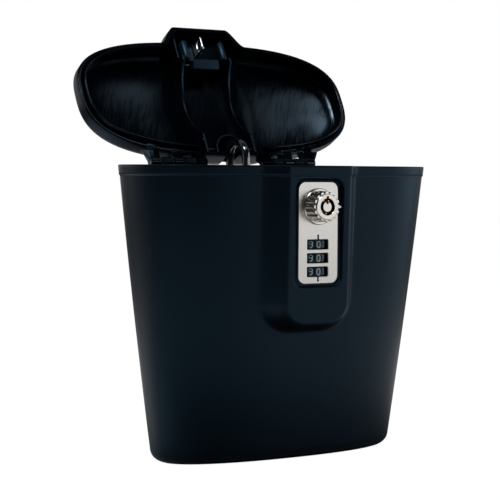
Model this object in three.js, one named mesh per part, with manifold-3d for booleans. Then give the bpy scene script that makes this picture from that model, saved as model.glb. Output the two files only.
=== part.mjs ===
// Portable car safe, standing with its lid open: a tapered plastic case, a domed lid on two barrel
// hinges, a cam lock with a round key and three number wheels, and a coated steel tether cable.
// Millimetres. X runs to the right, Y to the back, Z up; the origin is the middle of the underside.
import * as THREE from 'three';
import { mergeVertices } from 'three/addons/utils/BufferGeometryUtils.js';
import Module from 'manifold-3d';

const wasm = await Module();
wasm.setup();

// Fits: the space left between pieces that touch, and how far a cutting tool runs past its work
const fit = 0.3;
const overrun = 2;

// Case: an oval tub that tapers to its base
const bodyHeight = 180;
const rimHalfWidth = 103.5;
const rimFrontDepth = 42.5;
const rimHalfDepth = 45.5;
const baseHalfWidth = 83.5;
const baseHalfDepth = 31;
const bodyWall = 3;
const floorThickness = 3.2;
const baseEdgeRadius = 7;
const sideBowShare = 0.038;
const rimBandHeight = 6;
const rimBandStep = 0.45;
const frontSquareness = 3.2;
const backSquareness = 2.5;
const baseSquareness = 2.3;

// Raised pilaster on the front that carries the lock
const pilasterHalfWidth = 21;
const pilasterLength = 95;
const pilasterCorner = 13;
const pilasterSideFlank = 12.5;
const pilasterFootFlank = 6;
const pilasterRimStand = 10;
const pilasterFootStand = 12.7;

// Recess for the faceplate
const recessStand = 6.2;
const recessMargin = 2.2;
const recessTopMargin = 0.9;
const recessFootMargin = 1.3;
const recessCorner = 6;
const recessFlareShare = 0.3;

// Nickel faceplate
const plateWidth = 28.2;
const plateHeight = 61;
const plateThickness = 1.5;
const plateCorner = 4.8;
const plateBevel = 0.4;
const plateDrop = 9.7;
const windowWidth = 15;
const windowHeight = 5.9;
const indexLength = 3;
const indexWidth = 1;
const indexDepth = 0.5;
const pegRadius = 1.2;
const pegLength = 1.8;
const pegInset = 3.4;

// Number wheels on their spindle
const wheelCount = 3;
const wheelDigits = 10;
const wheelRadius = 7.9;
const wheelHeight = 5;
const wheelPitch = 8.2;
const wheelProud = 0.5;
const wheelGroove = 0.5;
const wheelHubRadius = 4.2;
const wheelEndSpace = 0.15;
const wheelsDrop = 55.4;
const spindleRadius = 1.9;

// Knob with a round keyway in its face
const knobDrop = 24.5;
const knobFlangeRadius = 10.85;
const knobFlangeThickness = 1.5;
const knobLength = 10;
const knobGripRadius = 9.2;
const knobNoseRadius = 7.7;
const knobFluteCount = 16;
const knobFluteDepth = 1.1;
const knobFluteSteps = 4;
const knobNoseLength = 0.8;
const nibReach = 1.1;
const nibWidth = 1.4;
const nibLength = 3.4;
const keywayRadius = 5;
const keyPostRadius = 3.15;
const keywayDepth = 3;
const rotorDepth = 8;
const keyNotchWidth = 1.6;
const keyNotchReach = 1.3;
const keyNotchInward = 1.5;
const keyPinCount = 7;
const keyPinRadius = 0.4;
const keyPinLength = 1.2;
const shaftRadius = 4;

// Lock case behind the recess
const caseHalfWidth = 15;
const caseWall = 1.6;
const caseDepth = 14.4;
const bearingThickness = 4.4;
const caseTopDrop = 10;
const bearingShoulder = 9;
const springThickness = 0.4;
const springWidth = 5;
const springBump = 0.7;
const caseScrewRadius = 1.2;
const caseScrewHeadRadius = 2.3;
const caseScrewHeadHeight = 1.3;
const caseScrewGrip = 2;
const caseScrewInset = 3.2;

// Cam on the back of the knob: a bar with a finger that hooks through the striker
const camThickness = 1.6;
const camHubRadius = 6;
const camBarWidth = 4.4;
const camSquare = 5.6;
const camFingerThickness = 1.8;
const camFingerLead = 13;
const camFingerSpan = 33;
const camBarLead = 5;
const nutWidth = 8;
const nutThickness = 2.6;
const threadRadius = 2.5;
const washerRadius = 4.8;
const washerThickness = 0.8;

// Lid: a dome with a raised band that carries the pilaster over the top
const lidGap = 0.3;
const lidHalfWidth = 100;
const lidFrontDepth = 40.2;
const lidTabSetIn = 1.3;
const lidFrontSquareness = 2.8;
const lidBackSquareness = 2.8;
const lidSkirt = 6;
const lidWall = 2.5;
const domeRise = 12.5;
const bandRise = 15.2;
const domeSquareness = 3;
const bandSquareness = 4.5;
const beadThickness = 1.5;
const beadReach = 2.6;
const beadFlange = 3;
const beadRearGap = 25;
const lidOpenAngle = 118.75;

// Moulded insert inside the lid
const ribHalfSpacing = 18;
const ribThickness = 1.8;
const ribFrontRise = 5.5;
const ribFootLength = 4;
const scoopSpan = 56;
const scoopHeight = 13.5;
const scoopCentre = 1;
const ledgeWidth = 19.4;
const ledgeFront = 29;
const ledgeDepth = 6;
const ledgeRise = 2.4;
const ledgeHeight = 4;
const ledgeWallRise = 9;
const lugLength = 14;
const lugWidth = 4.8;
const lugFront = 43;
const lugSpacing = 14.2;
const pocketWall = 1.3;
const pocketHalfWidth = 11;
const webThickness = 1.5;
const snapNubRadius = 1.2;
const snapNubPlace = 34;
const seatRise = 10;
const seatThickness = 3;
const seatLength = 15;

// Chromed striker that stands through the insert's seat, a little to the left of the knob
const strikerSide = 2.7;
const strikerThickness = 1.6;
const strikerWidth = 10;
const strikerDrop = 2.4;
const strikerBar = 1.7;
const strikerEyeHeight = 5;
const strikerEyeSide = 1.9;
const strikerFootLength = 16;
const strikerFootWidth = 8;
const strikerScrewSpacing = 10.4;
const strikerScrewRadius = 1.2;
const strikerScrewHeadRadius = 2.1;
const strikerScrewHeadHeight = 1;

// Hinges: five knuckles on each side of the cable
const hingeSetback = 4.5;
const hingeRise = 2.3;
const hingeStart = 21;
const knuckleLength = 7.4;
const knuckleGap = 1;
const knuckleCount = 5;
const knuckleRadius = 3.1;
const hingePinRadius = 1.2;
const hingeArm = 2.6;
const hingeStopReach = 7;
const bracketDrop = 9;
const bracketRootShare = 0.6;
const armRootShare = 0.7;
const armNoseShare = 0.3;
const armTopShare = 0.5;
const endGusset = 4.5;
const gussetSink = 3.2;

// Tether cable: a loose stop inside the case, an arch over the rim, a stored coil and an eye
const cableRadius = 2.75;
const cableNotchRoom = 1.5;
const cableSides = 8;
const cableSteps = 72;
const archRadius = 10;
const coilSides = 6;
const coilTurnSteps = 24;
const coilOuterRadius = 36;
const coilPitch = 6;
const coilStepsIn = 55;
const coilCentreX = 64;
const coilCentreY = 72.2;
const coilStartAngle = -120;
const coilClimbTurns = 0.5;
const tailRun = 36;
const tailSteps = 12;
const tailLevelShare = 0.06;
const ferruleRadius = 4.4;
const ferruleLength = 15;
const eyeCableRadius = 2.5;
const eyeRadius = 7.5;
const eyeLength = 18;
const eyeSteps = 6;

// Curve fineness, as counts
const sideSteps = 20;
const edgeSteps = 4;
const endSteps = 9;
const lastEndShare = 0.97;
const domeSteps = 14;
const roundSides = 24;
const smallSides = 12;
const cornerSteps = 5;
const plainEdges = { bevelEnabled: false, curveSegments: 10 };

// Places worked out from the sizes
const radians = THREE.MathUtils.degToRad;
const mix = THREE.MathUtils.lerp;
const rim = bodyHeight;
const recessPlane = -(rimFrontDepth + recessStand);
const plateFront = recessPlane - plateThickness;
const recessBack = recessPlane + bodyWall;
const plateTop = rim - plateDrop;
const plateBottom = plateTop - plateHeight;
const knobAxis = rim - knobDrop;
const wheelAxis = plateFront - wheelProud + wheelRadius;
const wheelsCentre = rim - wheelsDrop;
const wheelLevels = [1, 0, -1].map((step) => wheelsCentre + step * wheelPitch);
const wheelStack = wheelCount * wheelPitch;
const hingeY = rimHalfDepth + hingeSetback;
const hingeZ = rim + hingeRise;
const lidBottom = rim + lidGap;
const skirtTop = lidBottom + lidSkirt;
const archCentreY = hingeY - archRadius / 2;
const archCentreZ = rim + archRadius / 2;
const camPlane = recessBack + fit + bearingThickness + fit;
const strikerX = -strikerSide;
const strikerCentreY = camPlane + camThickness / 2 + fit;
const strikerTip = rim - strikerDrop;
const camFingerRadius = Math.hypot(
  strikerTip + strikerBar + fit - knobAxis, strikerSide + strikerThickness / 2);

// Finishes
const finishes = {
  casing: [0x0d1722, 0.55, 0],
  lidPlastic: [0x0a1119, 0.25, 0],
  nickel: [0xcecbc5, 0.3, 0.9],
  chrome: [0xdadde0, 0.12, 1],
  steel: [0xa8adb2, 0.35, 1],
  brass: [0xb58d4a, 0.3, 1],
  innerPlastic: [0x15181c, 0.6, 0],
  wheel: [0x0c0e12, 0.4, 0],
  keyway: [0x101113, 0.45, 0.4],
  cable: [0x14181d, 0.3, 0],
  ferrule: [0x9aa0a6, 0.4, 0.9],
};

function finish(name) {
  const [color, roughness, metalness] = finishes[name];
  return new THREE.MeshStandardMaterial({ color, roughness, metalness });
}

// Joins and cuts: a geometry becomes a solid, and a solid becomes a geometry again
function solid(geometry) {
  const bare = new THREE.BufferGeometry();
  bare.setAttribute('position', geometry.getAttribute('position'));
  if (geometry.index) bare.setIndex(geometry.index);
  const merged = mergeVertices(bare);
  const corners = merged.index.array;
  const kept = [];
  for (let i = 0; i < corners.length; i += 3) {
    const [a, b, c] = [corners[i], corners[i + 1], corners[i + 2]];
    if (a !== b && b !== c && c !== a) kept.push(a, b, c);
  }
  const vertProperties = Float32Array.from(merged.getAttribute('position').array);
  return new wasm.Manifold(new wasm.Mesh({ numProp: 3, vertProperties, triVerts: Uint32Array.from(kept) }));
}

function geometry(manifold) {
  const mesh = manifold.getMesh();
  const result = new THREE.BufferGeometry();
  result.setAttribute('position', new THREE.BufferAttribute(Float32Array.from(mesh.vertProperties), 3));
  result.setIndex(new THREE.BufferAttribute(Uint32Array.from(mesh.triVerts), 1));
  return result;
}

const join = (solids) => solids.reduce((whole, next) => whole.add(next));
const cut = (whole, tools) => tools.reduce((rest, tool) => rest.subtract(tool), whole);

// A box between two opposite corners
function block(x0, x1, y0, y1, z0, z1) {
  const box = new THREE.BoxGeometry(Math.abs(x1 - x0), Math.abs(y1 - y0), Math.abs(z1 - z0));
  return solid(box.translate((x0 + x1) / 2, (y0 + y1) / 2, (z0 + z1) / 2));
}

// Round rods along each axis, from one end to the other
function rodAlongX(radius, x0, x1, y, z, sides = roundSides) {
  const rod = new THREE.CylinderGeometry(radius, radius, x1 - x0, sides).rotateZ(Math.PI / 2);
  return solid(rod.translate((x0 + x1) / 2, y, z));
}

function rodAlongY(radius, y0, y1, x, z, sides = roundSides) {
  return solid(new THREE.CylinderGeometry(radius, radius, y1 - y0, sides).translate(x, (y0 + y1) / 2, z));
}

function rodAlongZ(radius, z0, z1, x, y, sides = roundSides) {
  const rod = new THREE.CylinderGeometry(radius, radius, z1 - z0, sides).rotateX(Math.PI / 2);
  return solid(rod.translate(x, y, (z0 + z1) / 2));
}

// Plates: a flat outline given its thickness along Y, X or Z. Outlines are drawn as seen from the front
// (x, z), from the right (y, z) and from above (x, y).
function plateAlongY(outline, y0, y1) {
  const plate = new THREE.ExtrudeGeometry(outline, { depth: y1 - y0, ...plainEdges });
  return solid(plate.rotateX(Math.PI / 2).translate(0, y1, 0));
}

function plateAlongX(outline, x0, x1) {
  const plate = new THREE.ExtrudeGeometry(outline, { depth: x1 - x0, ...plainEdges });
  const turned = new THREE.Matrix4().makeBasis(
    new THREE.Vector3(0, 1, 0), new THREE.Vector3(0, 0, 1), new THREE.Vector3(1, 0, 0));
  return solid(plate.applyMatrix4(turned).translate(x0, 0, 0));
}

function plateAlongZ(outline, z0, z1) {
  const plate = new THREE.ExtrudeGeometry(outline, { depth: z1 - z0, ...plainEdges });
  return solid(plate.translate(0, 0, z0));
}

function outlineThrough(points) {
  return new THREE.Shape(points.map(([u, v]) => new THREE.Vector2(u, v)));
}

// A rectangle with rounded corners, counterclockwise, as points and as an outline
function roundedPoints(left, right, bottom, top, corner, steps = cornerSteps) {
  const centres = [[right, bottom, -1], [right, top, 0], [left, top, 1], [left, bottom, 2]];
  return centres.flatMap(([x, z, quarter]) => Array.from({ length: steps + 1 }, (_, i) => {
    const angle = (quarter + i / steps) * Math.PI / 2;
    const cx = x === right ? right - corner : left + corner;
    const cz = z === top ? top - corner : bottom + corner;
    return new THREE.Vector2(cx + corner * Math.cos(angle), cz + corner * Math.sin(angle));
  }));
}

function roundedOutline(left, right, bottom, top, corner) {
  return new THREE.Shape(roundedPoints(left, right, bottom, top, corner));
}

// A closed solid through rings of equal count; flatten gives each ring's plane for its end faces
function loft(sections, flatten) {
  const backwards = THREE.ShapeUtils.isClockWise(sections[0].map(flatten));
  const rings = backwards ? sections.map((ring) => [...ring].reverse()) : sections;
  const count = rings[0].length;
  const points = rings.flat();
  const faces = [];
  for (let level = 0; level + 1 < rings.length; level += 1) {
    for (let i = 0; i < count; i += 1) {
      const a = level * count + i;
      const b = level * count + (i + 1) % count;
      const [c, d] = [b + count, a + count];
      const rising = points[a].distanceTo(points[c]) <= points[b].distanceTo(points[d]);
      faces.push(...(rising ? [a, b, c, a, c, d] : [a, b, d, b, c, d]));
    }
  }
  const last = (rings.length - 1) * count;
  THREE.ShapeUtils.triangulateShape(rings[0].map(flatten), []).forEach(([a, b, c]) => faces.push(a, c, b));
  THREE.ShapeUtils.triangulateShape(rings.at(-1).map(flatten), [])
    .forEach(([a, b, c]) => faces.push(last + a, last + b, last + c));
  const result = new THREE.BufferGeometry().setFromPoints(points);
  result.setIndex(faces);
  return solid(result);
}

const fromAbove = (p) => new THREE.Vector2(p.x, p.y);
const fromRight = (p) => new THREE.Vector2(p.y, p.z);

// The case's outline at each height
function taper(z) {
  const share = z / bodyHeight;
  return share + sideBowShare * 4 * share * (1 - share);
}

const squarenessAt = (z, atRim) => mix(baseSquareness, atRim, taper(z));

function bodyOval(z) {
  return {
    halfWidth: mix(baseHalfWidth, rimHalfWidth, taper(z)),
    frontDepth: mix(baseHalfDepth, rimFrontDepth, taper(z)),
    backDepth: mix(baseHalfDepth, rimHalfDepth, taper(z)),
    front: squarenessAt(z, frontSquareness),
    back: squarenessAt(z, backSquareness),
  };
}

const lidOval = {
  halfWidth: lidHalfWidth,
  frontDepth: lidFrontDepth,
  backDepth: rimHalfDepth,
  front: lidFrontSquareness,
  back: lidBackSquareness,
};

function ovalDepth(x, halfWidth, halfDepth, squareness) {
  const across = Math.min(Math.abs(x) / halfWidth, 1);
  return halfDepth * (1 - across ** squareness) ** (1 / squareness);
}

// How much of the pilaster's face is felt at a place on the front: 1 on the face, 0 past its flanks
function pilasterShare(x, z, inset) {
  const corner = pilasterCorner - inset;
  const across = Math.max(Math.abs(x) - (pilasterHalfWidth - pilasterCorner), 0);
  const below = Math.max(rim - pilasterLength + pilasterCorner - z, 0);
  const reach = Math.hypot(across, below) - corner;
  const downwards = across + below > 0 ? below / (across + below) : 0;
  const flank = mix(pilasterSideFlank, pilasterFootFlank, downwards);
  return 1 - THREE.MathUtils.smoothstep(reach / flank, 0, 1);
}

function pilasterFace(z) {
  const foot = rim - pilasterLength;
  const rise = THREE.MathUtils.clamp((z - foot) / pilasterLength, 0, 1);
  return mix(bodyOval(foot).frontDepth + pilasterFootStand, rimFrontDepth + pilasterRimStand, rise);
}

// Distances from the middle at which the front is drawn, so that the pilaster's flanks come out round
const flankEnd = pilasterHalfWidth + pilasterSideFlank;
const faceShares = [0, 0.3, 0.55, 0.75, 0.9, 1];
const flankShares = [0.14, 0.28, 0.42, 0.57, 0.72, 0.87, 1];
const frontStations = [
  ...faceShares.map((share) => share * pilasterHalfWidth),
  ...flankShares.map((share) => mix(pilasterHalfWidth, flankEnd, share)),
];

function ovalPoint(angle, halfWidth, halfDepth, squareness) {
  const x = halfWidth * Math.cos(angle) ** (2 / squareness);
  const y = halfDepth * Math.abs(Math.sin(angle)) ** (2 / squareness) * Math.sign(angle);
  return new THREE.Vector2(x, y);
}

// One level ring of an oval, pulled in by inset; the front half takes up the pilaster where it is raised
function ovalRing(oval, z, inset, raisedAt) {
  const halfWidth = oval.halfWidth - inset;
  const [frontDepth, backDepth] = [oval.frontDepth - inset, oval.backDepth - inset];
  const half = frontStations.map((x) => {
    const wall = ovalDepth(x, halfWidth, frontDepth, oval.front);
    if (raisedAt === undefined) return new THREE.Vector2(x, -wall);
    const share = pilasterShare(x, raisedAt, inset);
    return new THREE.Vector2(x, -mix(wall, pilasterFace(raisedAt) - inset, share));
  });
  const start = -Math.acos((flankEnd / halfWidth) ** (oval.front / 2));
  const fine = 160;
  const dense = Array.from({ length: fine + 1 }, (_, i) => {
    const angle = mix(start, Math.PI / 2, i / fine);
    const squareness = angle < 0 ? oval.front : oval.back;
    const depth = angle < 0 ? frontDepth : backDepth;
    return i === fine ? new THREE.Vector2(0, backDepth) : ovalPoint(angle, halfWidth, depth, squareness);
  });
  half.push(...new THREE.Path(dense).getSpacedPoints(sideSteps).slice(1));
  const left = half.slice(1, -1).reverse().map((p) => new THREE.Vector2(-p.x, p.y));
  return [...half, ...left].map((p) => new THREE.Vector3(p.x, p.y, z));
}

const caseRing = (z, inset, level = z) => ovalRing(bodyOval(level), z, inset, level);

// Rounded bottom edge, as a height and the inset there
function edgeRound(radius, start, steps) {
  return Array.from({ length: steps + 1 }, (_, i) => {
    const angle = (i / steps) * Math.PI / 2;
    return [start + radius * (1 - Math.cos(angle)), radius * (1 - Math.sin(angle))];
  });
}

function caseOutside() {
  const foot = rim - pilasterLength;
  const lowShares = [0.28, 0.58];
  const footShares = [-1, -0.66, -0.33, 0];
  const cornerShares = [0.25, 0.55, 1];
  const upperShares = [0.35, 0.7];
  const bandFoot = rim - rimBandHeight;
  const cornerTop = foot + pilasterCorner;
  const rings = [
    ...edgeRound(baseEdgeRadius, 0, edgeSteps).map(([z, inset]) => caseRing(z, inset)),
    ...lowShares.map((share) => caseRing(mix(baseEdgeRadius, foot - pilasterFootFlank, share), 0)),
    ...footShares.map((share) => caseRing(foot + share * pilasterFootFlank, 0)),
    ...cornerShares.map((share) => caseRing(foot + share * pilasterCorner, 0)),
    ...upperShares.map((share) => caseRing(mix(cornerTop, bandFoot, share), 0)),
    caseRing(bandFoot - rimBandStep, 0),
    caseRing(bandFoot, -rimBandStep),
    caseRing(rim, -rimBandStep),
  ];
  return loft(rings, fromAbove);
}

function caseInside() {
  const foot = rim - pilasterLength;
  const floorEdge = edgeRound(baseEdgeRadius - bodyWall, floorThickness, edgeSteps / 2);
  const footShares = [-1, -0.4, 0.3];
  const rings = [
    ...floorEdge.map(([z, inset]) => caseRing(z, bodyWall + inset)),
    caseRing((floorThickness + foot - pilasterFootFlank) / 2, bodyWall),
    ...footShares.map((share) => caseRing(foot + bodyWall + share * pilasterFootFlank, bodyWall)),
    caseRing(foot + bodyWall + pilasterCorner, bodyWall),
    caseRing((foot + pilasterCorner + rim) / 2, bodyWall),
    caseRing(rim, bodyWall),
    caseRing(rim + overrun, bodyWall, rim),
  ];
  return loft(rings, fromAbove);
}

// Thickening of the front wall behind the recess
function recessPad() {
  const spread = plateWidth / 2 + recessMargin + bodyWall;
  return block(-spread, spread, -(rimFrontDepth + pilasterRimStand), recessBack,
    plateBottom - recessFootMargin - bodyWall, rim + overrun * 2);
}

// The recess has sloping sides, so its tool is a tapered block with rounded corners
function recessTool() {
  const ring = (y, spread) => roundedPoints(
    -(plateWidth / 2 + recessMargin + spread), plateWidth / 2 + recessMargin + spread,
    plateBottom - recessFootMargin - spread, plateTop + recessTopMargin + spread, recessCorner + spread,
  ).map((p) => new THREE.Vector3(p.x, y, p.y));
  const mouth = recessPlane - pilasterRimStand - overrun;
  const flare = (recessPlane - mouth) * recessFlareShare;
  return loft([ring(mouth, flare), ring(recessPlane, 0)], (p) => new THREE.Vector2(p.x, -p.z));
}

// Knuckles: every other one belongs to the lid, the rest to the case
const knucklePitch = knuckleLength + knuckleGap;
const hingeEnd = hingeStart + knuckleCount * knucklePitch - knuckleGap;

function knuckleSpans(ofLid) {
  const owned = Array.from({ length: knuckleCount }, (_, i) => i).filter((i) => (i % 2 === 0) === ofLid);
  return [-1, 1].flatMap((side) => owned.map((i) => {
    const near = hingeStart + i * knucklePitch;
    const ends = [side * near, side * (near + knuckleLength)];
    return [Math.min(...ends), Math.max(...ends)];
  }));
}

// Bores for both pins, through all their knuckles
function hingeBores() {
  return [-1, 1].map((side) => {
    const ends = [side * (hingeStart - overrun), side * (hingeEnd + overrun)];
    return rodAlongX(hingePinRadius + fit, Math.min(...ends), Math.max(...ends), hingeY, hingeZ, smallSides);
  });
}

const backWallAt = (x) => ovalDepth(x, lidHalfWidth, rimHalfDepth, backSquareness);

// Case bracket: barrel, gusset down to the back wall, and the stop that the open lid leans on
function bracketOutline(x0, x1) {
  const wall = backWallAt(Math.max(Math.abs(x0), Math.abs(x1))) - bodyWall / 2;
  return outlineThrough([
    [wall, hingeZ - bracketDrop - hingeRise],
    [hingeY + knuckleRadius, hingeZ - knuckleRadius],
    [hingeY + hingeStopReach, hingeZ - knuckleRadius / 2],
    [hingeY + hingeStopReach, hingeZ + hingeRise / 3],
    [hingeY, hingeZ],
    [hingeY - knuckleRadius * bracketRootShare, rim - fit * 2],
    [wall, rim - fit * 2],
  ]);
}

function caseScrewPlaces() {
  const x = caseHalfWidth - caseScrewInset;
  const upper = wheelsCentre + wheelStack / 2 + bearingShoulder;
  const lower = plateBottom - caseScrewInset;
  return [-1, 1].flatMap((side) => [[side * x, upper], [side * x, lower]]);
}

const caseBottom = plateBottom - caseScrewInset * 2;
const chamberBottom = wheelsCentre - wheelStack / 2 - fit;
const chamberTop = wheelsCentre + wheelStack / 2 + fit;

function bodyShell() {
  const brackets = knuckleSpans(false).map(([x0, x1]) => join([
    rodAlongX(knuckleRadius, x0, x1, hingeY, hingeZ),
    plateAlongX(bracketOutline(x0, x1), x0, x1),
  ]));
  const wheelSlot = block(
    -(wheelRadius + fit * 2), wheelRadius + fit * 2, recessPlane - overrun, recessBack + overrun,
    wheelsCentre - wheelStack / 2, wheelsCentre + wheelStack / 2);
  const shaftHole = rodAlongY(shaftRadius + fit, recessPlane - overrun, recessBack + overrun, 0, knobAxis);
  const pegHoles = platePegs(fit, overrun);
  const screwHoles = caseScrewPlaces().map(([x, z]) => rodAlongY(
    caseScrewRadius + fit, recessBack - caseScrewGrip - fit, recessBack + overrun, x, z, smallSides));
  return cut(join([caseOutside(), ...brackets]),
    [caseInside().subtract(recessPad()), recessTool(), ...hingeBores(), wheelSlot, shaftHole, ...pegHoles,
      ...screwHoles]);
}

// Faceplate
function platePegs(extra, past) {
  const x = plateWidth / 2 - pegInset;
  return [-1, 1].flatMap((side) => [plateTop - pegInset, plateBottom + pegInset].map((z) => rodAlongY(
    pegRadius + extra, recessPlane - past, recessPlane + pegLength + extra, side * x, z, smallSides)));
}

function faceplate() {
  const ring = (y, inset) => roundedPoints(
    -plateWidth / 2 + inset, plateWidth / 2 - inset, plateBottom + inset, plateTop - inset,
    plateCorner - inset).map((p) => new THREE.Vector3(p.x, y, p.y));
  const blank = loft([ring(plateFront, plateBevel), ring(plateFront + plateBevel, 0), ring(recessPlane, 0)],
    (p) => new THREE.Vector2(p.x, -p.z));
  const past = [plateFront - overrun, recessPlane + overrun];
  const windows = wheelLevels.map((z) => block(
    -windowWidth / 2, windowWidth / 2, ...past, z - windowHeight / 2, z + windowHeight / 2));
  const markTop = wheelLevels[0] + windowHeight / 2;
  const markBottom = wheelLevels.at(-1) - windowHeight / 2;
  const marks = [markTop, markBottom - indexLength].map((z) => block(-indexWidth / 2, indexWidth / 2,
    plateFront - overrun, plateFront + indexDepth, z, z + indexLength));
  const hole = rodAlongY(shaftRadius + fit, ...past, 0, knobAxis);
  return cut(join([blank, ...platePegs(0, 0).map((peg) => peg.translate([0, -fit, 0]))]),
    [...windows, ...marks, hole]);
}

// Knob: flange, fluted grip, pointer nib, bored face, and the shaft that carries the cam
function flutedOutline(radius) {
  const steps = knobFluteCount * knobFluteSteps;
  return outlineThrough(Array.from({ length: steps }, (_, i) => {
    const inFlute = i % knobFluteSteps === knobFluteSteps / 2 ? knobFluteDepth : 0;
    const angle = (i / steps) * Math.PI * 2;
    return [(radius - inFlute) * Math.cos(angle), (radius - inFlute) * Math.sin(angle)];
  }));
}

const knobFace = plateFront - knobLength;
const knobBack = plateFront - fit;

function knob() {
  const flangeFront = knobBack - knobFlangeThickness;
  const gripFront = knobFace + knobNoseLength;
  const grip = plateAlongY(flutedOutline(knobGripRadius), gripFront, knobBack);
  const nose = rodAlongY(knobNoseRadius, knobFace, gripFront + knobNoseLength, 0, 0);
  const nib = block(knobGripRadius - knobFluteDepth, knobGripRadius + nibReach, gripFront,
    gripFront + nibLength, -nibWidth / 2, nibWidth / 2);
  const flange = rodAlongY(knobFlangeRadius, flangeFront, knobBack, 0, 0, roundSides * 2);
  const shaftEnd = camPlane - fit;
  const shaft = rodAlongY(shaftRadius, flangeFront, shaftEnd, 0, 0);
  const square = block(-camSquare / 2, camSquare / 2, shaftEnd - overrun, camPlane + camThickness - fit,
    -camSquare / 2, camSquare / 2);
  const threadEnd = camPlane + camThickness + washerThickness + nutThickness + fit * 3;
  const thread = rodAlongY(threadRadius, shaftEnd, threadEnd, 0, 0, smallSides);
  const bore = rodAlongY(keywayRadius, knobFace - overrun, knobFace + rotorDepth, 0, 0);
  const notch = block(-keyNotchWidth / 2, keyNotchWidth / 2, knobFace - overrun, knobFace + keywayDepth,
    0, keywayRadius + keyNotchReach);
  const whole = join([grip, nose, nib, flange, shaft, square, thread]);
  return cut(whole, [bore, notch]).translate([0, 0, knobAxis]);
}

// Round key plug: it turns in the knob, and its pins stand in a ring round the centre post
function keyRotor() {
  const floor = knobFace + keywayDepth;
  const drum = rodAlongY(keywayRadius - fit, floor, knobFace + rotorDepth - fit, 0, 0);
  const post = rodAlongY(keyPostRadius, knobFace + fit, floor + fit, 0, 0);
  const notch = block(-keyNotchWidth / 2, keyNotchWidth / 2, knobFace - overrun, floor,
    keyPostRadius - keyNotchInward, keywayRadius + overrun);
  return cut(join([drum, post]), [notch]).translate([0, 0, knobAxis]);
}

function keyPins() {
  const ring = (keyPostRadius + keywayRadius - fit) / 2;
  const floor = knobFace + keywayDepth;
  return Array.from({ length: keyPinCount }, (_, i) => {
    const angle = ((i + 0.5) / keyPinCount) * Math.PI * 2 + Math.PI / 2;
    return rodAlongY(keyPinRadius, floor - keyPinLength, floor,
      ring * Math.cos(angle), knobAxis + ring * Math.sin(angle), smallSides / 2);
  });
}

// Lock case: a bearing plate for the knob above a chamber for the wheels
function lockCase() {
  const front = recessBack + fit;
  const top = rim - caseTopDrop;
  const plate = block(-caseHalfWidth, caseHalfWidth, front, front + bearingThickness, caseBottom, top);
  const chamber = block(-caseHalfWidth, caseHalfWidth, front, front + caseDepth, chamberBottom - caseWall,
    chamberTop + caseWall);
  const hollow = block(-(wheelRadius + fit * 2), wheelRadius + fit * 2, front - overrun,
    front + caseDepth - caseWall, chamberBottom, chamberTop);
  const spindleBore = rodAlongZ(spindleRadius + fit, chamberBottom - caseWall / 2, chamberTop + caseWall / 2,
    0, wheelAxis, smallSides);
  const past = [front - overrun, front + bearingThickness + overrun];
  const bearing = rodAlongY(shaftRadius + fit, ...past, 0, knobAxis);
  const screwHoles = caseScrewPlaces().map(([x, z]) => rodAlongY(
    caseScrewRadius + fit, ...past, x, z, smallSides));
  return cut(join([plate, chamber]), [hollow, spindleBore, bearing, ...screwHoles]);
}

function caseScrews() {
  const seat = recessBack + fit + bearingThickness + fit / 2;
  return caseScrewPlaces().map(([x, z]) => join([
    rodAlongY(caseScrewRadius, recessBack - caseScrewGrip, seat + caseScrewHeadHeight / 2, x, z, smallSides),
    rodAlongY(caseScrewHeadRadius, seat, seat + caseScrewHeadHeight, x, z, smallSides),
  ]));
}

// Number wheels: ten faces with a groove between each two, and a hub that spaces them
function wheelOutline() {
  const shares = [0, 0.09, 0.3, 0.5, 0.7, 0.91];
  const perDigit = shares.length;
  const steps = wheelDigits * perDigit;
  return outlineThrough(Array.from({ length: steps }, (_, i) => {
    const place = i % perDigit;
    const radius = place === 0 ? wheelRadius - wheelGroove : wheelRadius;
    const angle = ((Math.floor(i / perDigit) + shares[place]) / wheelDigits) * Math.PI * 2;
    return [radius * Math.cos(angle), radius * Math.sin(angle)];
  }));
}

function numberWheel(z) {
  const hub = wheelPitch / 2 - wheelEndSpace;
  const rimPlate = plateAlongZ(wheelOutline(), -wheelHeight / 2, wheelHeight / 2);
  const quarterDigit = Math.PI / wheelDigits;
  const turned = rimPlate.rotate([0, 0, THREE.MathUtils.radToDeg(-Math.PI / 2 - quarterDigit)]);
  const whole = join([turned, rodAlongZ(wheelHubRadius, -hub, hub, 0, 0)]);
  const bore = rodAlongZ(spindleRadius + fit, -hub - overrun, hub + overrun, 0, 0, smallSides);
  return cut(whole, [bore]).translate([0, wheelAxis, z]);
}

function wheelSpindle() {
  return rodAlongZ(spindleRadius, chamberBottom - caseWall / 2 + fit, chamberTop + caseWall / 2 - fit,
    0, wheelAxis, smallSides);
}

// Leaf spring behind the wheels, with one bump for each
function detentSpring() {
  const back = recessBack + fit + caseDepth - caseWall - fit;
  const front = back - springThickness;
  const tip = wheelAxis + wheelRadius + fit;
  const strip = block(-springWidth / 2, springWidth / 2, front, back, chamberBottom + fit, chamberTop - fit);
  const bumps = wheelLevels.map((z) => plateAlongX(outlineThrough([
    [back - springThickness / 2, z - wheelHeight / 3],
    [back - springThickness / 2, z + wheelHeight / 3],
    [Math.min(tip, front - springBump / 2), z + wheelHeight / 8],
    [Math.min(tip, front - springBump / 2), z - wheelHeight / 8],
  ]), -springWidth / 2, springWidth / 2));
  return join([strip, ...bumps]);
}

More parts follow.
